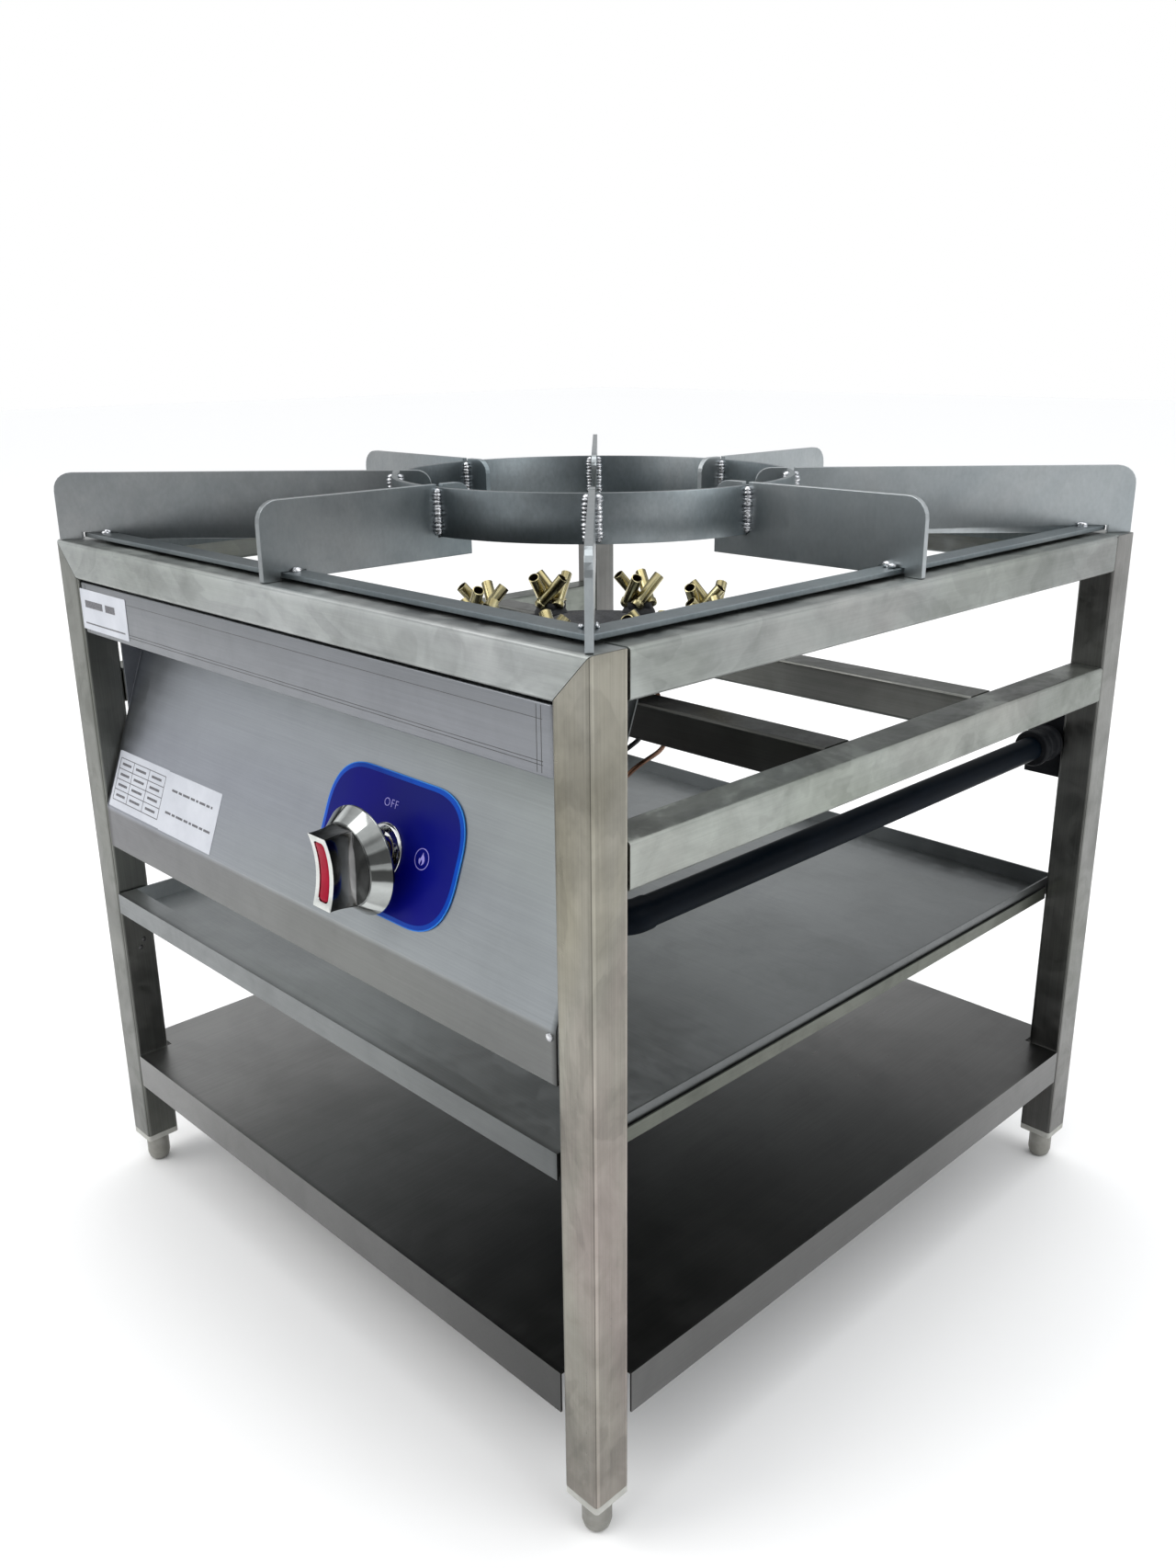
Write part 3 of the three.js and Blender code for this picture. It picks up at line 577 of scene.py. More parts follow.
def dial_paint(name, low, high):
    slow = (16.0, 3.0, (1, 1, 1), 0.55, (0.3, 0.1, 0.2), 0.5)
    tones = [(0.38, low), (0.68, high)]
    return speckled(name, 0.4, 0.0, slow, tones, (1200.0, 3.0), (0.28, 0.38), (0.06, 0.0001), 0.09)


def small_materials():
    """Stops of tone go from the low patches to the high ones."""
    patina = (60.0, 5.0, (1, 1, 1), 0.55, (0, 0, 0), 0.6)
    return {
        "bore": speckled("bore", 0.6, 0.6, (200.0, 3.0), [(0.3, (0.012, 0.008, 0.004)), (0.7, (0.05, 0.032, 0.015))],
                         None, (0.5, 0.7)),
        "red": speckled("red", 0.35, 0.0, (60.0, 3.0), [(0.3, (0.27, 0.001, 0.018)), (0.7, (0.36, 0.003, 0.026))],
                        (700.0, 3.0), (0.28, 0.42), (0.1, 0.0001), 0.07),
        "navy": dial_paint("navy", (0.0, 0.0, 0.17), (0.004, 0.007, 0.15)),
        "rim_blue": dial_paint("rim_blue", (0.0, 0.03, 0.28), (0.001, 0.07, 0.48)),
        "edge_blue": dial_paint("edge_blue", (0.02, 0.16, 0.6), (0.05, 0.26, 0.72)),
        "print": speckled("dial_print", 0.45, 0.0, (900.0, 3.0), [(0.3, (0.3, 0.26, 0.72)), (0.6, (0.42, 0.38, 0.85))],
                          None, (0.4, 0.55)),
        "label": speckled("label", 0.42, 0.0, (40.0, 5.0), [(0.3, (0.5, 0.52, 0.57)), (0.7, (0.6, 0.62, 0.67))],
                          (600.0, 4.0), (0.36, 0.5), (0.08, 0.0001)),
        "ink": speckled("label_print", 0.5, 0.0, (1500.0, 3.0), [(0.3, (0.03, 0.03, 0.035)), (0.7, (0.2, 0.2, 0.22))],
                        None, (0.45, 0.6)),
        "foot": speckled("foot", 0.42, 0.55, (50.0, 4.0), [(0.3, (0.2, 0.195, 0.175)), (0.7, (0.34, 0.335, 0.31))],
                         (420.0, 4.0), (0.36, 0.52), (0.2, 0.0002)),
        "insert": speckled("insert", 0.55, 0.0, (60.0, 4.0), [(0.3, (0.34, 0.34, 0.31)), (0.7, (0.52, 0.52, 0.49))],
                           (500.0, 4.0), (0.5, 0.62), (0.2, 0.0002)),
        "copper": speckled("copper", 0.32, 1.0, patina,
                           [(0.3, (0.07, 0.033, 0.02)), (0.55, (0.15, 0.075, 0.045)), (0.75, (0.26, 0.14, 0.085))],
                           (700.0, 3.0), (0.24, 0.42), (0.1, 0.0001)),
    }


def make_materials():
    return {
        **steels(),
        **flat_bars(),
        **small_materials(),
        "weld": weld_metal(),
        "iron": cast_iron(),
        "brass": turned_brass(),
        "black": black_paint("black", (0.004, 0.0045, 0.006), (0.013, 0.014, 0.016), 0.1),
        "pipe_black": black_paint("pipe_black", (0.0006, 0.0022, 0.0045), (0.004, 0.007, 0.012), 0.035),
        "chrome": chrome("chrome", 0.06, (0.045, 0.15), plain_chrome, (500.0, 4.0)),
        "chrome_bezel": chrome("chrome_bezel", 0.08, (0.05, 0.16), bezel_reflection_painted),
        "chrome_grip": chrome("chrome_grip", 0.09, (0.06, 0.18), grip_reflection_painted),
    }


# ---- shapes ----

def fillet(points, radius, steps=4, closed=False):
    """The polyline with each corner rounded. radius is one number or one per corner."""
    count = len(points)
    out = []
    for i, point in enumerate(points):
        r = radius[i] if isinstance(radius, (list, tuple)) else radius
        if r <= 0 or (not closed and i in (0, count - 1)):
            out.append(tuple(point))
            continue
        here = Vector(point)
        before = Vector(points[i - 1]) - here
        after = Vector(points[(i + 1) % count]) - here
        angle = before.angle(after)
        if angle > math.pi - 0.02:
            out.append(tuple(point))
            continue
        reach = min(r / math.tan(angle / 2), before.length * 0.49, after.length * 0.49)
        start, end = here + before.normalized() * reach, here + after.normalized() * reach
        for k in range(steps + 1):
            t = k / steps
            out.append(tuple(start * (1 - t) ** 2 + here * 2 * t * (1 - t) + end * t * t))
    return out


def rounded_rect(length, width, radius, steps=6):
    a, b = length / 2, width / 2
    return fillet([(a, -b), (a, b), (-a, b), (-a, -b)], radius, steps, closed=True)


def skin(bm, rings):
    """Faces between each ring of points and the next."""
    for low, high in zip(rings, rings[1:]):
        for i in range(len(low)):
            j = (i + 1) % len(low)
            bm.faces.new([low[i], low[j], high[j], high[i]])


def lathe(profile, segments=48, matrix=None, bm=None):
    """A turned shape from (radius, height) points. A profile that returns to its start closes on itself."""
    bm = bm or bmesh.new()
    matrix = matrix or Matrix()
    closed = (Vector(profile[0]) - Vector(profile[-1])).length < 1e-6
    if closed:
        profile = profile[:-1]
    rings = []
    for r, z in profile:
        if r < 1e-6:
            rings.append([bm.verts.new(matrix @ Vector((0, 0, z)))])
            continue
        ring = []
        for i in range(segments):
            a = 2 * math.pi * i / segments
            ring.append(bm.verts.new(matrix @ Vector((r * math.cos(a), r * math.sin(a), z))))
        rings.append(ring)
    pairs = list(zip(rings, rings[1:]))
    if closed:
        pairs.append((rings[-1], rings[0]))
    for low, high in pairs:
        for i in range(segments):
            j = (i + 1) % segments
            corners = [low[i % len(low)], low[j % len(low)], high[j % len(high)], high[i % len(high)]]
            corners = list(dict.fromkeys(corners))
            if len(corners) > 2:
                bm.faces.new(corners)
    return bm


def smooth_path(points, count):
    """Evenly many points on a Catmull-Rom curve through the given ones."""
    points = [Vector(p) for p in points]
    ends = [points[0] * 2 - points[1], *points, points[-1] * 2 - points[-2]]
    out = []
    spans = len(points) - 1
    for k in range(count + 1):
        s = min(k / count * spans, spans - 1e-9)
        i = int(s)
        t = s - i
        a, b, c, d = ends[i:i + 4]
        curve = (2 * a - 5 * b + 4 * c - d) * t * t
        out.append(0.5 * (2 * b + (c - a) * t + curve + (3 * b - a - 3 * c + d) * t ** 3))
    return out


def tube(path, radius, sides=12, bm=None):
    """A capped round bar along a path. radius is a number or a function of the share of the way along."""
    bm = bm or bmesh.new()
    count = len(path)
    normal = None
    rings = []
    for i, point in enumerate(path):
        tangent = (path[min(i + 1, count - 1)] - path[max(i - 1, 0)]).normalized()
        if normal is None:
            guide = Vector((0, 0, 1)) if abs(tangent.z) < 0.9 else Vector((1, 0, 0))
            normal = (guide - tangent * guide.dot(tangent)).normalized()
        else:
            normal = (normal - tangent * normal.dot(tangent)).normalized()
        other = tangent.cross(normal)
        r = radius(i / (count - 1)) if callable(radius) else radius
        ring = []
        for k in range(sides):
            a = 2 * math.pi * k / sides
            ring.append(bm.verts.new(point + normal * (r * math.cos(a)) + other * (r * math.sin(a))))
        rings.append(ring)
    skin(bm, rings)
    bm.faces.new(list(reversed(rings[0])))
    bm.faces.new(rings[-1])
    return bm


def slab(outline, low, high, matrix=None, bm=None):
    """A flat plate from a closed 2-D outline."""
    bm = bm or bmesh.new()
    matrix = matrix or Matrix()
    bottom = [bm.verts.new(matrix @ Vector((x, y, low))) for x, y in outline]
    upper = [bm.verts.new(matrix @ Vector((x, y, high))) for x, y in outline]
    bm.faces.new(list(reversed(bottom)))
    bm.faces.new(upper)
    skin(bm, [bottom, upper])
    return bm


def band(outer, inner, low, high, bm=None):
    """A closed loop of flat bar between two outlines with as many points each."""
    bm = bm or bmesh.new()
    rows = []
    for outline, level in ((outer, low), (outer, high), (inner, high), (inner, low)):
        rows.append([bm.verts.new((x, y, level)) for x, y in outline])
    skin(bm, rows + rows[:1])
    return bm


def block(x0, x1, y0, y1, z0, z1, bm=None):
    bm = bm or bmesh.new()
    return slab([(x0, y0), (x1, y0), (x1, y1), (x0, y1)], z0, z1, bm=bm)


def soften(bm, width, degrees=35, segments=2):
    bmesh.ops.recalc_face_normals(bm, faces=bm.faces)
    edges = [e for e in bm.edges if len(e.link_faces) == 2 and e.calc_face_angle() > math.radians(degrees)]
    bmesh.ops.bevel(bm, geom=edges, offset=width, segments=segments, affect="EDGES", profile=0.5, clamp_overlap=True)
    return bm


def circle(radius, count=48):
    angles = [2 * math.pi * i / count for i in range(count)]
    return [(radius * math.cos(a), radius * math.sin(a)) for a in angles]


def bar_mark(x, y, wide, high, low, top, bm):
    """A small flat rectangle about its middle."""
    block(x - wide / 2, x + wide / 2, y - high / 2, y + high / 2, low, top, bm)


def thicken(made, thickness):
    """Gives an open sheet its thickness, inwards."""
    solid = made.modifiers.new("thickness", "SOLIDIFY")
    solid.thickness = thickness * MM
    solid.offset = -1


def piece(name, bm, material, body="stand_frame", matrix=None, stands_for=(), sharp=35, local=None):
    """Turns a mesh in stand millimetres into a piece on a body. local keeps the object's own axes for its pattern."""
    bmesh.ops.recalc_face_normals(bm, faces=bm.faces)
    mesh = bpy.data.meshes.new(name)
    if local is None:
        bm.transform(WORLD @ (matrix or Matrix()))
    else:
        bm.transform(Matrix.Scale(MM, 4))
    bm.to_mesh(mesh)
    bm.free()
    mesh.shade_smooth()
    mesh.set_sharp_from_angle(angle=math.radians(sharp))
    mesh.materials.append(M[material])
    made = bpy.data.objects.new(name, mesh)
    if local is not None:
        turn = local.to_3x3().normalized().to_4x4()
        made.matrix_world = Matrix.Translation(WORLD @ local.translation) @ turn
    bpy.context.scene.collection.objects.link(made)
    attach(made, body)
    if stands_for:
        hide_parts(*stands_for)
    return made


# ---- pieces carried over from the frame ----

def finish_node(name, material, bevel=0.35, degrees=40, segments=2):
    node = nodes[name]
    node.data.materials.clear()
    node.data.materials.append(M[material])
    weld = node.modifiers.new("weld", "WELD")
    weld.merge_threshold = 0.00001
    edge = node.modifiers.new("edges", "BEVEL")
    edge.width = bevel * MM
    edge.segments = segments
    edge.limit_method = "ANGLE"
    edge.angle_limit = math.radians(degrees)
    edge.use_clamp_overlap = True


def carry_over():
    for side in ("left", "right"):
        for end in ("front", "back"):
            near = end == "front" and side == "right"
            finish_node(f"leg_{end}_{side}", "leg" if near else "leg_far_shaded", 0.25)
            finish_node(f"foot_insert_{end}_{side}", "insert", 0.3)
        finish_node(f"top_rail_{side}", "tube_y", 0.25)
        finish_node(f"mid_rail_{side}", "rail_mid", 0.25)
        finish_node(f"tray_runner_{side}", "runner", 0.15)
    for end in ("front", "back"):
        finish_node(f"top_rail_{end}", "tube_x", 0.25)
        # the front burner bar takes the darker copy of the steel: painted shade
        finish_node(f"burner_bar_{end}", "bar" if end == "front" else "bar_back", 0.25)
    finish_node("bottom_shelf", "shelf", 0.55, 40, 3)
    finish_node("drip_tray", "tray", 0.5, 40, 3)
    finish_node("control_panel", "sheet", 0.5, 15, 3)
    finish_node("trivet_frame", "bare", 0.5)
    finish_node("burner_cradle", "bare", 0.3)
    finish_node("pipe_bracket", "black", 0.3)
    for name in ("right", "back_right", "back", "back_left", "left", "front_left", "front", "front_right"):
        finish_node("trivet_fin_" + name, "fin", 0.45, 40, 2)


# ---- sheet metal details ----

def front_strip():
    half, face, back, low, top = 239.4, -263.4, -246, 436, 471.4
    bm = block(-half, half, face, back, low, top)
    open_side = [f for f in bm.faces if abs(f.calc_center_median().y - back) < 0.01]
    bmesh.ops.delete(bm, geom=open_side, context="FACES")
    bmesh.ops.recalc_face_normals(bm, faces=bm.faces)

    def upright_in_front(edge):
        a, b = (v.co for v in edge.verts)
        return all(abs(p.y - face) < 0.01 for p in (a, b)) and abs(a.z - b.z) > 1

    corners = [e for e in bm.edges if upright_in_front(e)]
    bmesh.ops.bevel(bm, geom=corners, offset=3.2, segments=6, affect="EDGES", profile=0.5)
    folds = [e for e in bm.edges if len(e.link_faces) == 2 and e.calc_face_angle() > math.radians(60)]
    bmesh.ops.bevel(bm, geom=folds, offset=1.1, segments=3, affect="EDGES", profile=0.5)
    thicken(piece("front_strip_sheet", bm, "strip", stands_for=("front_strip",)), 1.2)

    # painted shade: thin dark strips stand for the shade in the strip's score lines
    front = -263.44
    lines = bmesh.new()
    for x in (-231.6, 228.4, 231.6):
        block(x - 0.16, x + 0.16, front - 0.05, front + 0.2, 437.8, 470.2, lines)
    for z in (441.6, 443.4, 463.6):
        block(-232.5, 232.5, front - 0.05, front + 0.2, z - 0.14, z + 0.14, lines)
    piece("strip_score_lines", lines, "cheek")


def labels():
    on_strip = Matrix.Translation((-206.5, -263.5, 453)) @ Matrix.Rotation(math.pi / 2, 4, "X")
    piece("strip_label", slab(rounded_rect(67, 28, 0.8), 0, 0.16), "label", matrix=on_strip)
    bm = bmesh.new()
    for x, y, wide, high in ((-14, 4, 26, 5), (10, 4, 14, 5), (0, -9.5, 58, 1.0)):
        bar_mark(x, y, wide, high, 0.14, 0.2, bm)
    piece("strip_label_print", bm, "ink", matrix=on_strip)

    plate = PANEL @ Matrix.Translation((-199.5, 22, 0))
    piece("rating_label", slab(rounded_rect(73, 41, 1), 0, 0.18), "label", matrix=plate)
    row_step, lowest, half_line = 7.6, -15, 0.3
    bm = bmesh.new()
    for row in range(5):
        y = lowest + row_step * row
        block(-33, 33, y - half_line, y + half_line, 0.16, 0.24, bm)
    for x in (-33, -13, 10, 33):
        block(x - half_line, x + half_line, lowest, 15.4, 0.16, 0.24, bm)
    for row in range(4):
        for x, wide in ((-23, 13), (-2, 15), (21, 14)):
            bar_mark(x, -11.2 + row_step * row, wide, 1.8, 0.16, 0.24, bm)
    piece("rating_label_print", bm, "ink", matrix=plate)

    notice = PANEL @ Matrix.Translation((-128, 21.6, 0))
    piece("notice_label", slab(rounded_rect(70, 41, 1), 0, 0.18), "label", matrix=notice)
    bars = (7.5, 4.2, 9.0, 5.4, 3.0)
    gap = 1.6
    bm = bmesh.new()
    for y, wide in ((9, 54), (-7, 60)):
        x = -wide / 2
        step = 0
        while x < wide / 2:
            end = min(x + bars[step % len(bars)], wide / 2)
            block(x, end, y - 0.8, y + 0.8, 0.16, 0.22, bm)
            x = end + gap
            step += 1
    piece("notice_label_print", bm, "ink", matrix=notice)


def rivet_and_dots():
    rivet = lathe([(0, 1.3), (1.2, 1.2), (2.1, 0.7), (2.4, 0), (2.4, -0.4), (0, -0.4)], 20)
    on_lip = Matrix.Translation((234.6, -264.6, 303)) @ Matrix.Rotation(math.pi / 2, 4, "X")
    piece("panel_rivet", rivet, "weld", matrix=on_lip)
    for k, z in enumerate((190.0, 196.0)):
        head = lathe([(0, 1.0), (1.0, 0.9), (1.7, 0.4), (1.9, 0), (0, -0.1)], 16)
        spot = Matrix.Translation((-INNER, -252 + 3 * k, z)) @ Matrix.Rotation(math.pi / 2, 4, "Y")
        piece(f"leg_weld_dot_{k + 1}", head, "cheek", matrix=spot)


# ---- dial and knob ----

def dial():
    bm = slab(rounded_rect(126, 80, 33, 14), 0.3, 1.0)
    piece("dial_edge", bm, "edge_blue", local=DIAL, stands_for=("dial_plate",))
    border = soften(slab(rounded_rect(124.8, 78.8, 32.6, 14), 0.9, 1.24), 0.14)
    piece("dial_border", border, "rim_blue", local=DIAL)
    piece("dial_field", slab(rounded_rect(120, 74, 30.4, 14), 1.1, 1.3), "navy", local=DIAL)

    data = bpy.data.curves.new("dial_off", "FONT")
    data.body = "OFF"
    data.size = 6.9 * MM
    data.space_character = 1.14
    data.align_x = "CENTER"
    data.align_y = "CENTER"
    data.extrude = 0.04 * MM
    data.offset = -0.12 * MM
    data.materials.append(M["print"])
    text = bpy.data.objects.new("dial_off", data)
    spot = DIAL @ Matrix.Translation((-4, 22.3, 1.34))
    text.matrix_world = Matrix.Translation(WORLD @ spot.translation) @ spot.to_3x3().to_4x4()
    bpy.context.scene.collection.objects.link(text)
    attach(text, "stand_frame")

    bm = band(circle(6.0), circle(5.6), 1.28, 1.36)
    flame = [(0.3, 4.2), (0.9, 2.6), (2.1, 1.2), (2.7, -0.4), (2.3, -2.2), (1.0, -3.5), (0.2, -3.7), (1.0, -2.2),
             (0.6, -0.9), (-0.3, -0.2), (-0.6, -1.6), (-1.1, -2.6), (-0.9, -3.6), (-2.1, -2.6), (-2.6, -1.0),
             (-2.1, 0.4), (-1.5, -0.1), (-0.6, 1.4)]
    slab([(0.92 * x, 0.92 * y) for x, y in flame], 1.28, 1.36, bm=bm)
    piece("dial_flame_mark", bm, "print", matrix=DIAL @ Matrix.Translation((32.2, -0.5, 0)))

    collar = lathe(fillet([(9, 0.6), (16.8, 0.6), (16.8, 2.6), (15.4, 3.8), (11.6, 3.8), (9.2, 2.6), (9, 0.6)],
                          [0, 0, 0.8, 0.8, 0.8, 0.6, 0], 4), 72)
    piece("dial_collar", collar, "chrome", local=DIAL @ AXIS_ON_DIAL, sharp=50)


def dished(y):
    """Height of the grip's dished top, which is lowest in the middle of its length."""
    return GRIP_TOP - GRIP_DISH * (1 - (y / GRIP_HALF) ** 2)


def grip_outline(wide, long, corner):
    """A rounded rectangle with extra points along its two long sides, which the dish bends."""
    steps = 16
    corners = rounded_rect(wide, long, corner, 4)
    out = []
    for here, after in zip(corners, corners[1:] + corners[:1]):
        out.append(here)
        if abs(after[1] - here[1]) > long / 2:
            out += [(here[0], here[1] + (after[1] - here[1]) * k / steps) for k in range(1, steps)]
    return out


def knob_grip():
    base, levels = 27.0, 14
    bm = bmesh.new()
    rings = []
    for k in range(levels + 1):
        s = k / levels
        flare = (1 - s) ** 1.6
        half_long = 21.1 + 1.2 * flare
        half_wide = 8.3 + 1.5 * flare - 0.7 * math.sin(math.pi * s)
        outline = grip_outline(2 * half_wide, 2 * half_long, 0.9)
        rings.append([bm.verts.new((x, y, base + (dished(y) - base) * s)) for x, y in outline])
    for inset, corner, lift in ((0.35, 0.9, 0.12), (3.55, 2.6, 0.12), (3.7, 2.5, -0.6)):
        outline = grip_outline(16.6 - 2 * inset, 42.2 - 2 * inset, corner)
        rings.append([bm.verts.new((x, y, dished(y) + lift)) for x, y in outline])
    rings.append([bm.verts.new((v.co.x * 0.98, v.co.y * 0.99, 39.2)) for v in rings[-1]])
    skin(bm, rings)
    bm.faces.new(rings[-1])
    piece("knob_grip", bm, "chrome_grip", "knob", local=KNOB, sharp=30)


def knob_insert():
    """A crowned strip with round ends, which follows the dish."""
    half_long, half_wide, corner, stations, across = 17.4, 4.55, 3.2, 40, 8
    bm = bmesh.new()
    rows = []
    for k in range(stations + 1):
        y = -half_long + 2 * half_long * k / stations
        edge = half_long - abs(y)
        wide = half_wide
        if edge <= corner:
            wide = half_wide - corner + math.sqrt(max(0.0, corner ** 2 - (corner - edge) ** 2))
        row = []
        for j in range(across + 1):
            u = -1 + 2 * j / across
            crown = 0.55 * (1 - abs(u) ** 4) * min(1.0, edge / 1.6)
            row.append(bm.verts.new((u * wide, y, dished(y) - 0.5 + crown)))
        rows.append(row)
    for a, b in zip(rows, rows[1:]):
        for i in range(across):
            bm.faces.new([a[i], a[i + 1], b[i + 1], b[i]])
    thicken(piece("knob_red_insert", bm, "red", "knob", local=KNOB, stands_for=("knob_insert",),
                  sharp=60), 0.8)


def knob():
    spin = lathe(fillet([(4.4, 11.2), (9.6, 11.2), (10, 21.4), (26.6, 21.4), (30.4, 16.9), (31.6, 16.9), (31.6, 18.2),
                         (23.9, 27.6), (22.8, 27.6), (22.4, 27.2), (4.4, 27.2), (4.4, 11.2)],
                        [0, 0.6, 0.8, 0.8, 0.3, 0.3, 0.45, 0.35, 0.2, 0.2, 0, 0], 4), 128)
    piece("knob_bezel", spin, "chrome_bezel", "knob", local=KNOB, stands_for=("knob_body",))
    knob_grip()
    knob_insert()
    stem = lathe([(0, -28), (4, -28), (4, 14), (3.4, 14.6), (3.4, 21), (0, 21)], 24)
    piece("valve_spindle_turned", stem, "brass", "spindle", local=KNOB, stands_for=("valve_spindle",))


# ---- gas line ----

def turned_x(profile, place, segments=40, bm=None):
    turn = Matrix.Translation(place) @ Matrix.Rotation(math.pi / 2, 4, "Y")
    return lathe(profile, segments, turn, bm)


def turned_y(profile, place, segments=40, bm=None):
    turn = Matrix.Translation(place) @ Matrix.Rotation(-math.pi / 2, 4, "X")
    return lathe(profile, segments, turn, bm)


def gas_valve():
    bm = soften(block(-15, 15, -22, 16, -58, -14), 2.2, 35, 3)
    bm.transform(KNOB)
    for side in (-1, 1):
        profile = fillet([(4, 14), (11, 14), (11, 20), (9.4, 21), (9.4, 26), (5, 26), (5, 18)], 0.6, 2)
        turn = Matrix.Translation(FEED) @ Matrix.Rotation(side * math.pi / 2, 4, "Y")
        lathe(profile, 6 if side > 0 else 32, turn, bm)
    lathe(fillet([(4.6, -15), (7, -15), (7, 4), (4.6, 4)], 0.5, 2), 32, KNOB, bm)
    piece("gas_valve", bm, "brass", stands_for=("valve_body",))


def pipes():
    bm = turned_x([(6.3, 108.3), (8.6, 108.3), (8.6, 212.7), (6.3, 212.7), (6.3, 108.3)], (0, FEED.y, FEED.z))
    piece("feed_pipe_round", bm, "pipe_black", stands_for=("feed_pipe",))

    corner = Vector((PIPE_X, FEED.y, FEED.z))
    reach, turn, steps = 17, 12, 12
    bend = [corner + Vector((-reach, 0, 0)), corner + Vector((-turn, 0, 0))]
    for k in range(1, steps):
        a = k / steps * math.pi / 2
        bend.append(corner + Vector((-turn + turn * math.sin(a), turn - turn * math.cos(a), 0)))
    bend += [corner + Vector((0, turn, 0)), corner + Vector((0, reach, 0))]
    piece("pipe_elbow_bend", tube(bend, 9.3, 32), "pipe_black", stands_for=("pipe_elbow",))

    start = FEED.y + 17.3
    bm = turned_y([(6.3, start), (8.6, start), (8.6, 214), (6.3, 214), (6.3, start)], (PIPE_X, 0, FEED.z), 48)
    piece("gas_pipe_round", bm, "pipe_black", stands_for=("gas_pipe",))


def inlet_fitting():
    profile = fillet([(6.3, 214.3), (12.2, 214.3), (13.2, 215.4), (13.2, 218.6), (11.9, 220), (11.9, 223), (12.6, 224),
                      (12.6, 226.4), (11.9, 227.4), (11.9, 231.6), (13.2, 233), (13.2, 237), (11.6, 239.3),
                      (8.6, 239.3)], 0.5, 3)
    bm = turned_y(profile, (PIPE_X, 0, FEED.z), 48)
    thread = [(8.6, 239.3)]
    threads, pitch = 14, 1.45
    for k in range(threads):
        y = 240.5 + k * pitch
        thread += [(8.6, y), (7.9, y + 0.7)]
    thread += [(8.4, 261.4), (7.9, 262), (6.3, 262), (6.3, 250), (0, 250)]
    turned_y(thread, (PIPE_X, 0, FEED.z), 40, bm)
    piece("inlet_fitting", bm, "black", stands_for=("inlet_coupling",))


def supply_line():
    points = [FEED + Vector((-26.3, 0, 0)), (32, FEED.y, FEED.z), (6, FEED.y + 22, FEED.z - 8), (0, -150, 322),
              (0, -60, 316), (0, -16, 317), (0, -2, 326), (0, 0, 338)]
    bm = tube(smooth_path(points, 70), 5.9, 20)
    injector = fillet([(3, 330), (8, 330), (8, 337), (5.5, 338.5), (4, 343), (1.2, 343)], 0.4, 2)
    lathe(injector, 6, None, bm)
    piece("supply_line", bm, "copper", stands_for=("supply_tube",))


def pilot_and_thermocouple():
    lead_radius = 1.6
    points = [KNOB @ Vector((8, 4, -58.5)), KNOB @ Vector((9, 4, -72)), (108, -130, 346), (103, -67, 366),
              (92, -26, 372), (64, 2, 386), (51, 6, 404), (50, 6, 432)]
    bm = tube(smooth_path(points, 80), lead_radius, 10)
    tip = fillet([(1, 428), (3.6, 428), (3.6, 436), (2.2, 437.5), (1, 437.5)], 0.3, 2)
    lathe(tip, 6, Matrix.Translation((50, 6, 0)), bm)
    piece("pilot_line", bm, "copper", stands_for=("pilot_tube",))
    points = [KNOB @ Vector((-8, 4, -58.5)), KNOB @ Vector((-8, 4, -72)), (88, -120, 358), (84, -56, 372),
              (70, -24, 376), (54, -12, 392), (50, -9, 410), (50, -9, 432)]
    bm = tube(smooth_path(points, 80), lead_radius, 10)
    piece("thermocouple_lead", bm, "black", stands_for=("thermocouple",))


# ---- burner ----

def burner_casting():
    bm = bmesh.new()
    hub = [(0, 409.8), (30, 409.8), (HUB_R, 415), (HUB_R, 434), (30.5, 439.6), (14, 439.6), (9, 436.4), (0, 436.4)]
    lathe(fillet(hub, [0, 2, 3, 3, 2, 1.5, 2, 0], 4), 64, None, bm)
    channel = [(RING_IN, 413), (RING_OUT, 413), (RING_OUT, 421), (RING_OUT - 4.5, 427.6), (RING_IN + 4.5, 427.6),
               (RING_IN, 421), (RING_IN, 413)]
    lathe(fillet(channel, [0, 2.5, 3, 3, 3, 3, 0], 4), 96, None, bm)
    for i in range(4):
        turn = Matrix.Rotation(math.pi / 4 + i * math.pi / 2, 4, "Z")
        arm = fillet([(-8.6, 413.6), (8.6, 413.6), (7.0, 426.8), (-7.0, 426.8)], 2.4, 3, closed=True)
        lift = turn @ Matrix(((0, 0, 1, 0), (1, 0, 0, 0), (0, 1, 0, 0), (0, 0, 0, 1)))
        slab(arm, HUB_R - 8, RING_IN + 6, lift, bm)
    piece("burner_casting", bm, "iron", stands_for=("burner_body",))


def jet(name, place):
    """A hollow brass tube with a flange at its root, and the sooty bore seen from both ends."""
    profile = fillet([(1.2, -8.2), (1.2, -9.0), (4.7, -9.0), (5.1, -8.5), (5.1, -5.2), (4.3, -4.4), (4.2, -3.6),
                      (4.2, 21.0), (3.5, 21.2), (3.4, 20.8), (3.4, 4)],
                     [0, 0.1, 0.3, 0.3, 0.4, 0.3, 0.3, 0.15, 0.15, 0.1, 0], 2)
    piece(name, lathe(profile, 32), "brass", local=place)
    bm = lathe([(0, 5), (3.36, 5), (3.39, 19.6)], 20)
    lathe([(0, -8.4), (1.18, -8.4), (1.19, -8.9)], 16, None, bm)
    piece(name + "_bore", bm, "bore", local=place)


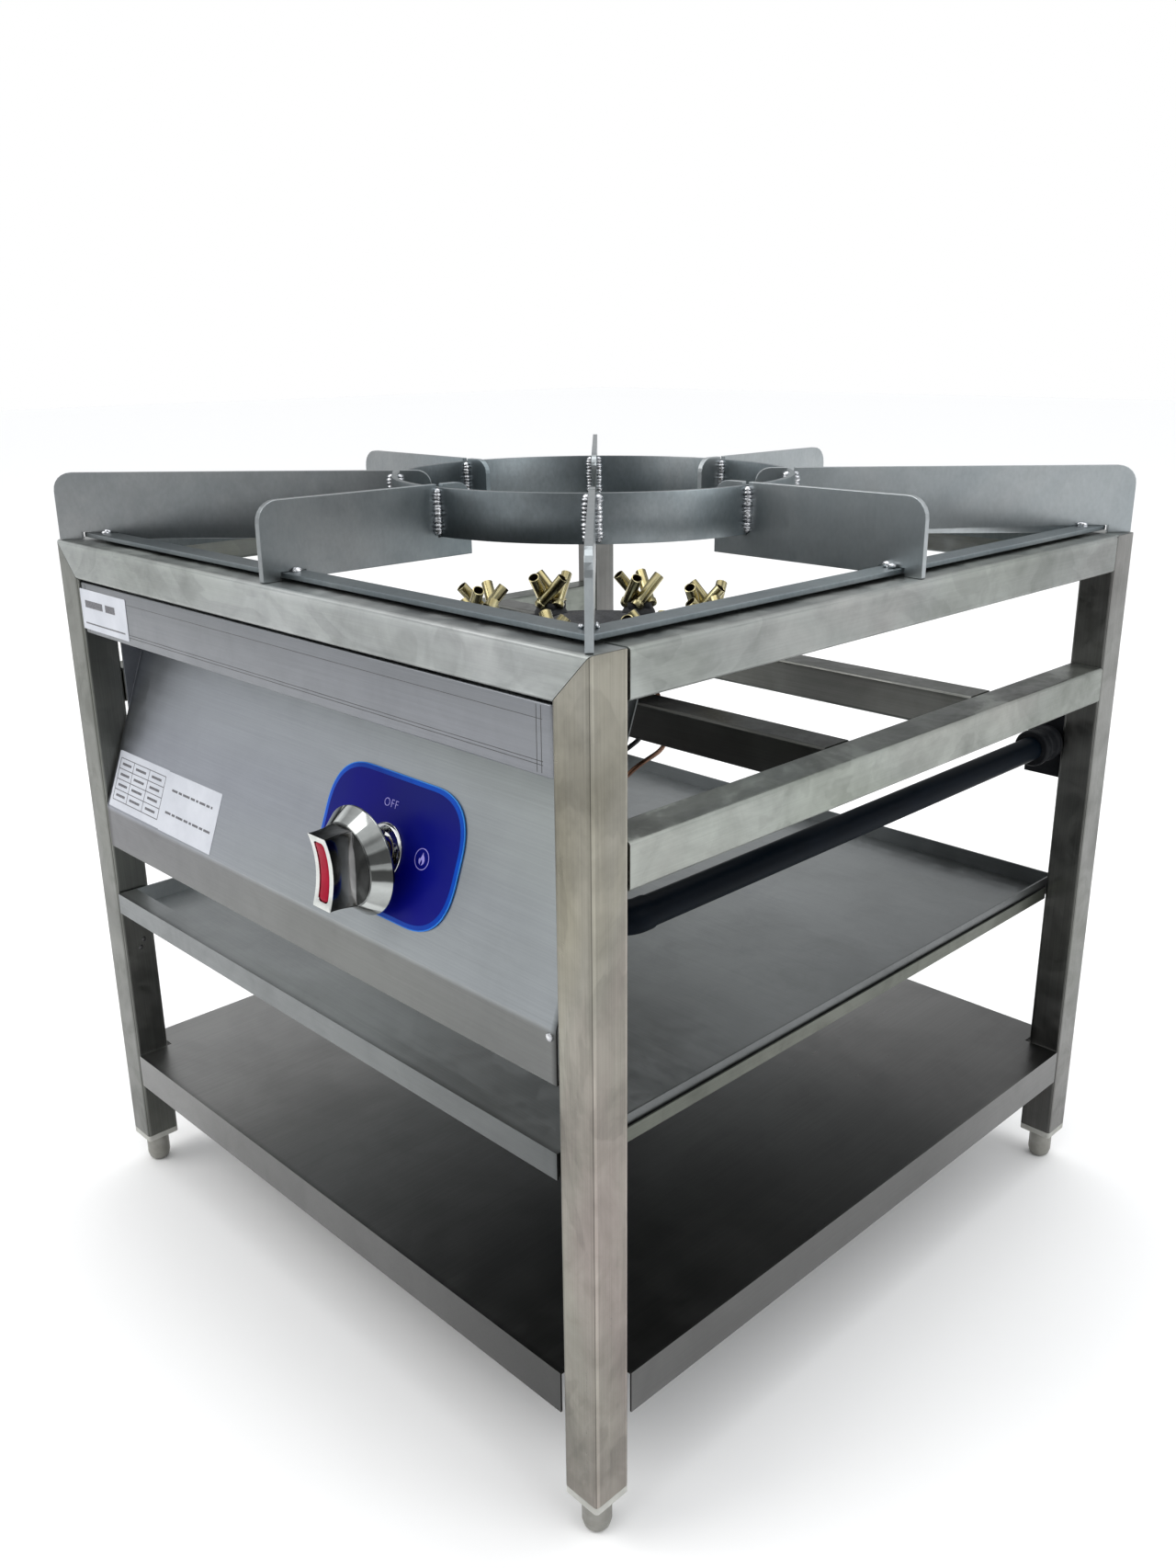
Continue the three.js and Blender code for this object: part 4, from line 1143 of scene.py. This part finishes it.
def jet_heads():
    """Each dome carries crossed jets, every one leaning out of its own boss."""
    dome = fillet([(0, -9), (13, -9), (12.8, -2), (10.8, 1.4), (7.4, 3.2), (4.4, 5.6), (0, 6.4)],
                  [0, 0, 2, 2.5, 2, 2, 0], 3)
    stub = fillet([(0, 0), (4.4, 0), (4.0, 6), (3.2, 8.4), (0, 8.6)], [0, 0, 1.2, 0.8, 0], 2)
    for i in range(JET_HEADS):
        round_ring = Matrix.Rotation((i + 0.5) * 2 * math.pi / JET_HEADS, 4, "Z")
        spot = round_ring @ Matrix.Translation((JET_RING_R, 0, HEAD_Z))
        bm = lathe(dome, 40, spot)
        places = []
        for j in range(JETS_PER_HEAD):
            turn = spot @ Matrix.Rotation((j + 0.5) * 2 * math.pi / JETS_PER_HEAD, 4, "Z")
            places.append(turn @ Matrix.Translation((7.6, 0, 10)) @ Matrix.Rotation(-JET_LEAN, 4, "X"))
            boss = turn @ Matrix.Translation((5.4, 3.6, -2)) @ Matrix.Rotation(math.radians(14), 4, "Y")
            lathe(stub, 20, boss, bm)
        piece(f"jet_head_{i + 1}_dome", bm, "iron", stands_for=(f"jet_head_{i + 1}",))
        for j, place in enumerate(places):
            jet(f"jet_{i + 1}_{j + 1}", place)


def mixing_tube():
    profile = fillet([(11, 352), (13.4, 338), (17, 332), (19, 332), (16, 341), (13, 354), (13, 392), (18, 400),
                      (18, 409.4), (11, 409.4), (11, 352)], [0, 1, 0.5, 0.5, 3, 3, 3, 2, 0, 0, 0], 3)
    piece("mixing_tube_cast", lathe(profile, 40), "iron", stands_for=("mixing_tube",))


# ---- pan support ----

def bead(points, radius, seed, bm):
    """A weld run: overlapping ripples with a little wander."""
    rng = random.Random(seed)
    start, end = Vector(points[0]), Vector(points[-1])
    length = (end - start).length
    ripples = max(3, round(length / 2.3))
    sizes = [rng.uniform(0.86, 1.14) for _ in range(ripples + 1)]
    offsets = [Vector((rng.uniform(-0.35, 0.35), rng.uniform(-0.35, 0.35), 0)) for _ in range(ripples + 1)]
    steps = ripples * 6
    path = []
    for k in range(steps + 1):
        s = k / steps * ripples
        i = min(int(s), ripples - 1)
        t = s - i
        path.append(start.lerp(end, k / steps) + offsets[i] * (1 - t) + offsets[i + 1] * t)

    def swell(share):
        s = share * ripples
        i = min(int(s), ripples - 1)
        t = s - i
        lump = 0.72 + 0.28 * math.sqrt(max(0.0, 1 - (2 * t - 1) ** 2))
        ends = min(1.0, 0.45 + min(share, 1 - share) * length / radius * 0.8)
        return radius * lump * ends * (sizes[i] * (1 - t) + sizes[i + 1] * t)

    tube(path, swell, 14, bm)


def blob(centre, size, seed, bm):
    """A tack weld: a few lumps run together."""
    rng = random.Random(seed)
    for _ in range(4):
        place = Vector(centre) + Vector([rng.uniform(-0.55, 0.55) * s for s in size])
        made = bmesh.ops.create_icosphere(bm, subdivisions=3, radius=1.0)
        scale = [s * rng.uniform(0.55, 0.8) for s in size]
        for v in made["verts"]:
            wave = 1 + 0.06 * math.sin(5 * v.co.x + rng.random() * 0.2) * math.cos(4 * v.co.y)
            v.co = Vector([v.co[a] * scale[a] * wave for a in range(3)]) + place


def gather(bm, run, turn):
    """Moves a finished run into bm, turned to its place."""
    run.transform(turn)
    holder = bpy.data.meshes.new("run")
    run.to_mesh(holder)
    run.free()
    bm.from_mesh(holder)
    bpy.data.meshes.remove(holder)


def pan_support():
    ring = [(SUPPORT_R_IN, SUPPORT_LOW), (SUPPORT_R_OUT, SUPPORT_LOW), (SUPPORT_R_OUT, SUPPORT_TOP),
            (SUPPORT_R_IN, SUPPORT_TOP), (SUPPORT_R_IN, SUPPORT_LOW)]
    piece("trivet_ring_rolled", lathe(fillet(ring, [0, 0.5, 0.5, 0.5, 0.5], 2), 144), "bare", "pan_support",
          stands_for=("trivet_ring",))

    bm = bmesh.new()
    for i in range(8):
        turn = Matrix.Rotation(i * math.pi / 4, 4, "Z")
        to_corner = i % 2
        for side in (-1, 1):
            for r, size in ((138.1, 3.5), (132.0, 3.1)):
                run = bmesh.new()
                bead([(r, side * 3.3, 512.6), (r, side * 3.3, 541)], size, 17 * i + side + int(r), run)
                gather(bm, run, turn)
            reach = SUPPORT_HALF * (math.sqrt(2) if to_corner else 1)
            run = bmesh.new()
            share = 0.62 if i == 7 else 0.9
            size = [share * r for r in (4.2, 2.6, 2.6)]
            blob((reach - (6 if to_corner else 0), side * 3.9, 503.4), size, 31 * i + side, run)
            gather(bm, run, turn)
    piece("trivet_weld_beads", bm, "weld", "pan_support", sharp=80)


# ---- feet ----

def feet():
    profile = fillet([(0, 0), (5.2, 0), (7.4, 1.8), (8.5, 6), (8.5, 17), (7.9, 21.4), (7.0, 22.4), (4, 22.4), (4, 57),
                      (0, 57)], [0, 1.2, 1.5, 2, 1, 0.8, 0.4, 0, 0, 0], 3)
    for side, sx in (("left", -1), ("right", 1)):
        for end, sy in (("front", -1), ("back", 1)):
            spot = Matrix.Translation((sx * LEG_AXIS, sy * LEG_AXIS, 0))
            name = f"levelling_foot_{end}_{side}"
            piece(name + "_turned", lathe(profile, 40), "foot", f"foot_{end}_{side}", matrix=spot,
                  stands_for=(name,))


make_camera()
make_stage()
M = make_materials()
carry_over()
front_strip()
labels()
rivet_and_dots()
dial()
knob()
gas_valve()
pipes()
inlet_fitting()
supply_line()
pilot_and_thermocouple()
burner_casting()
jet_heads()
mixing_tube()
pan_support()
feet()
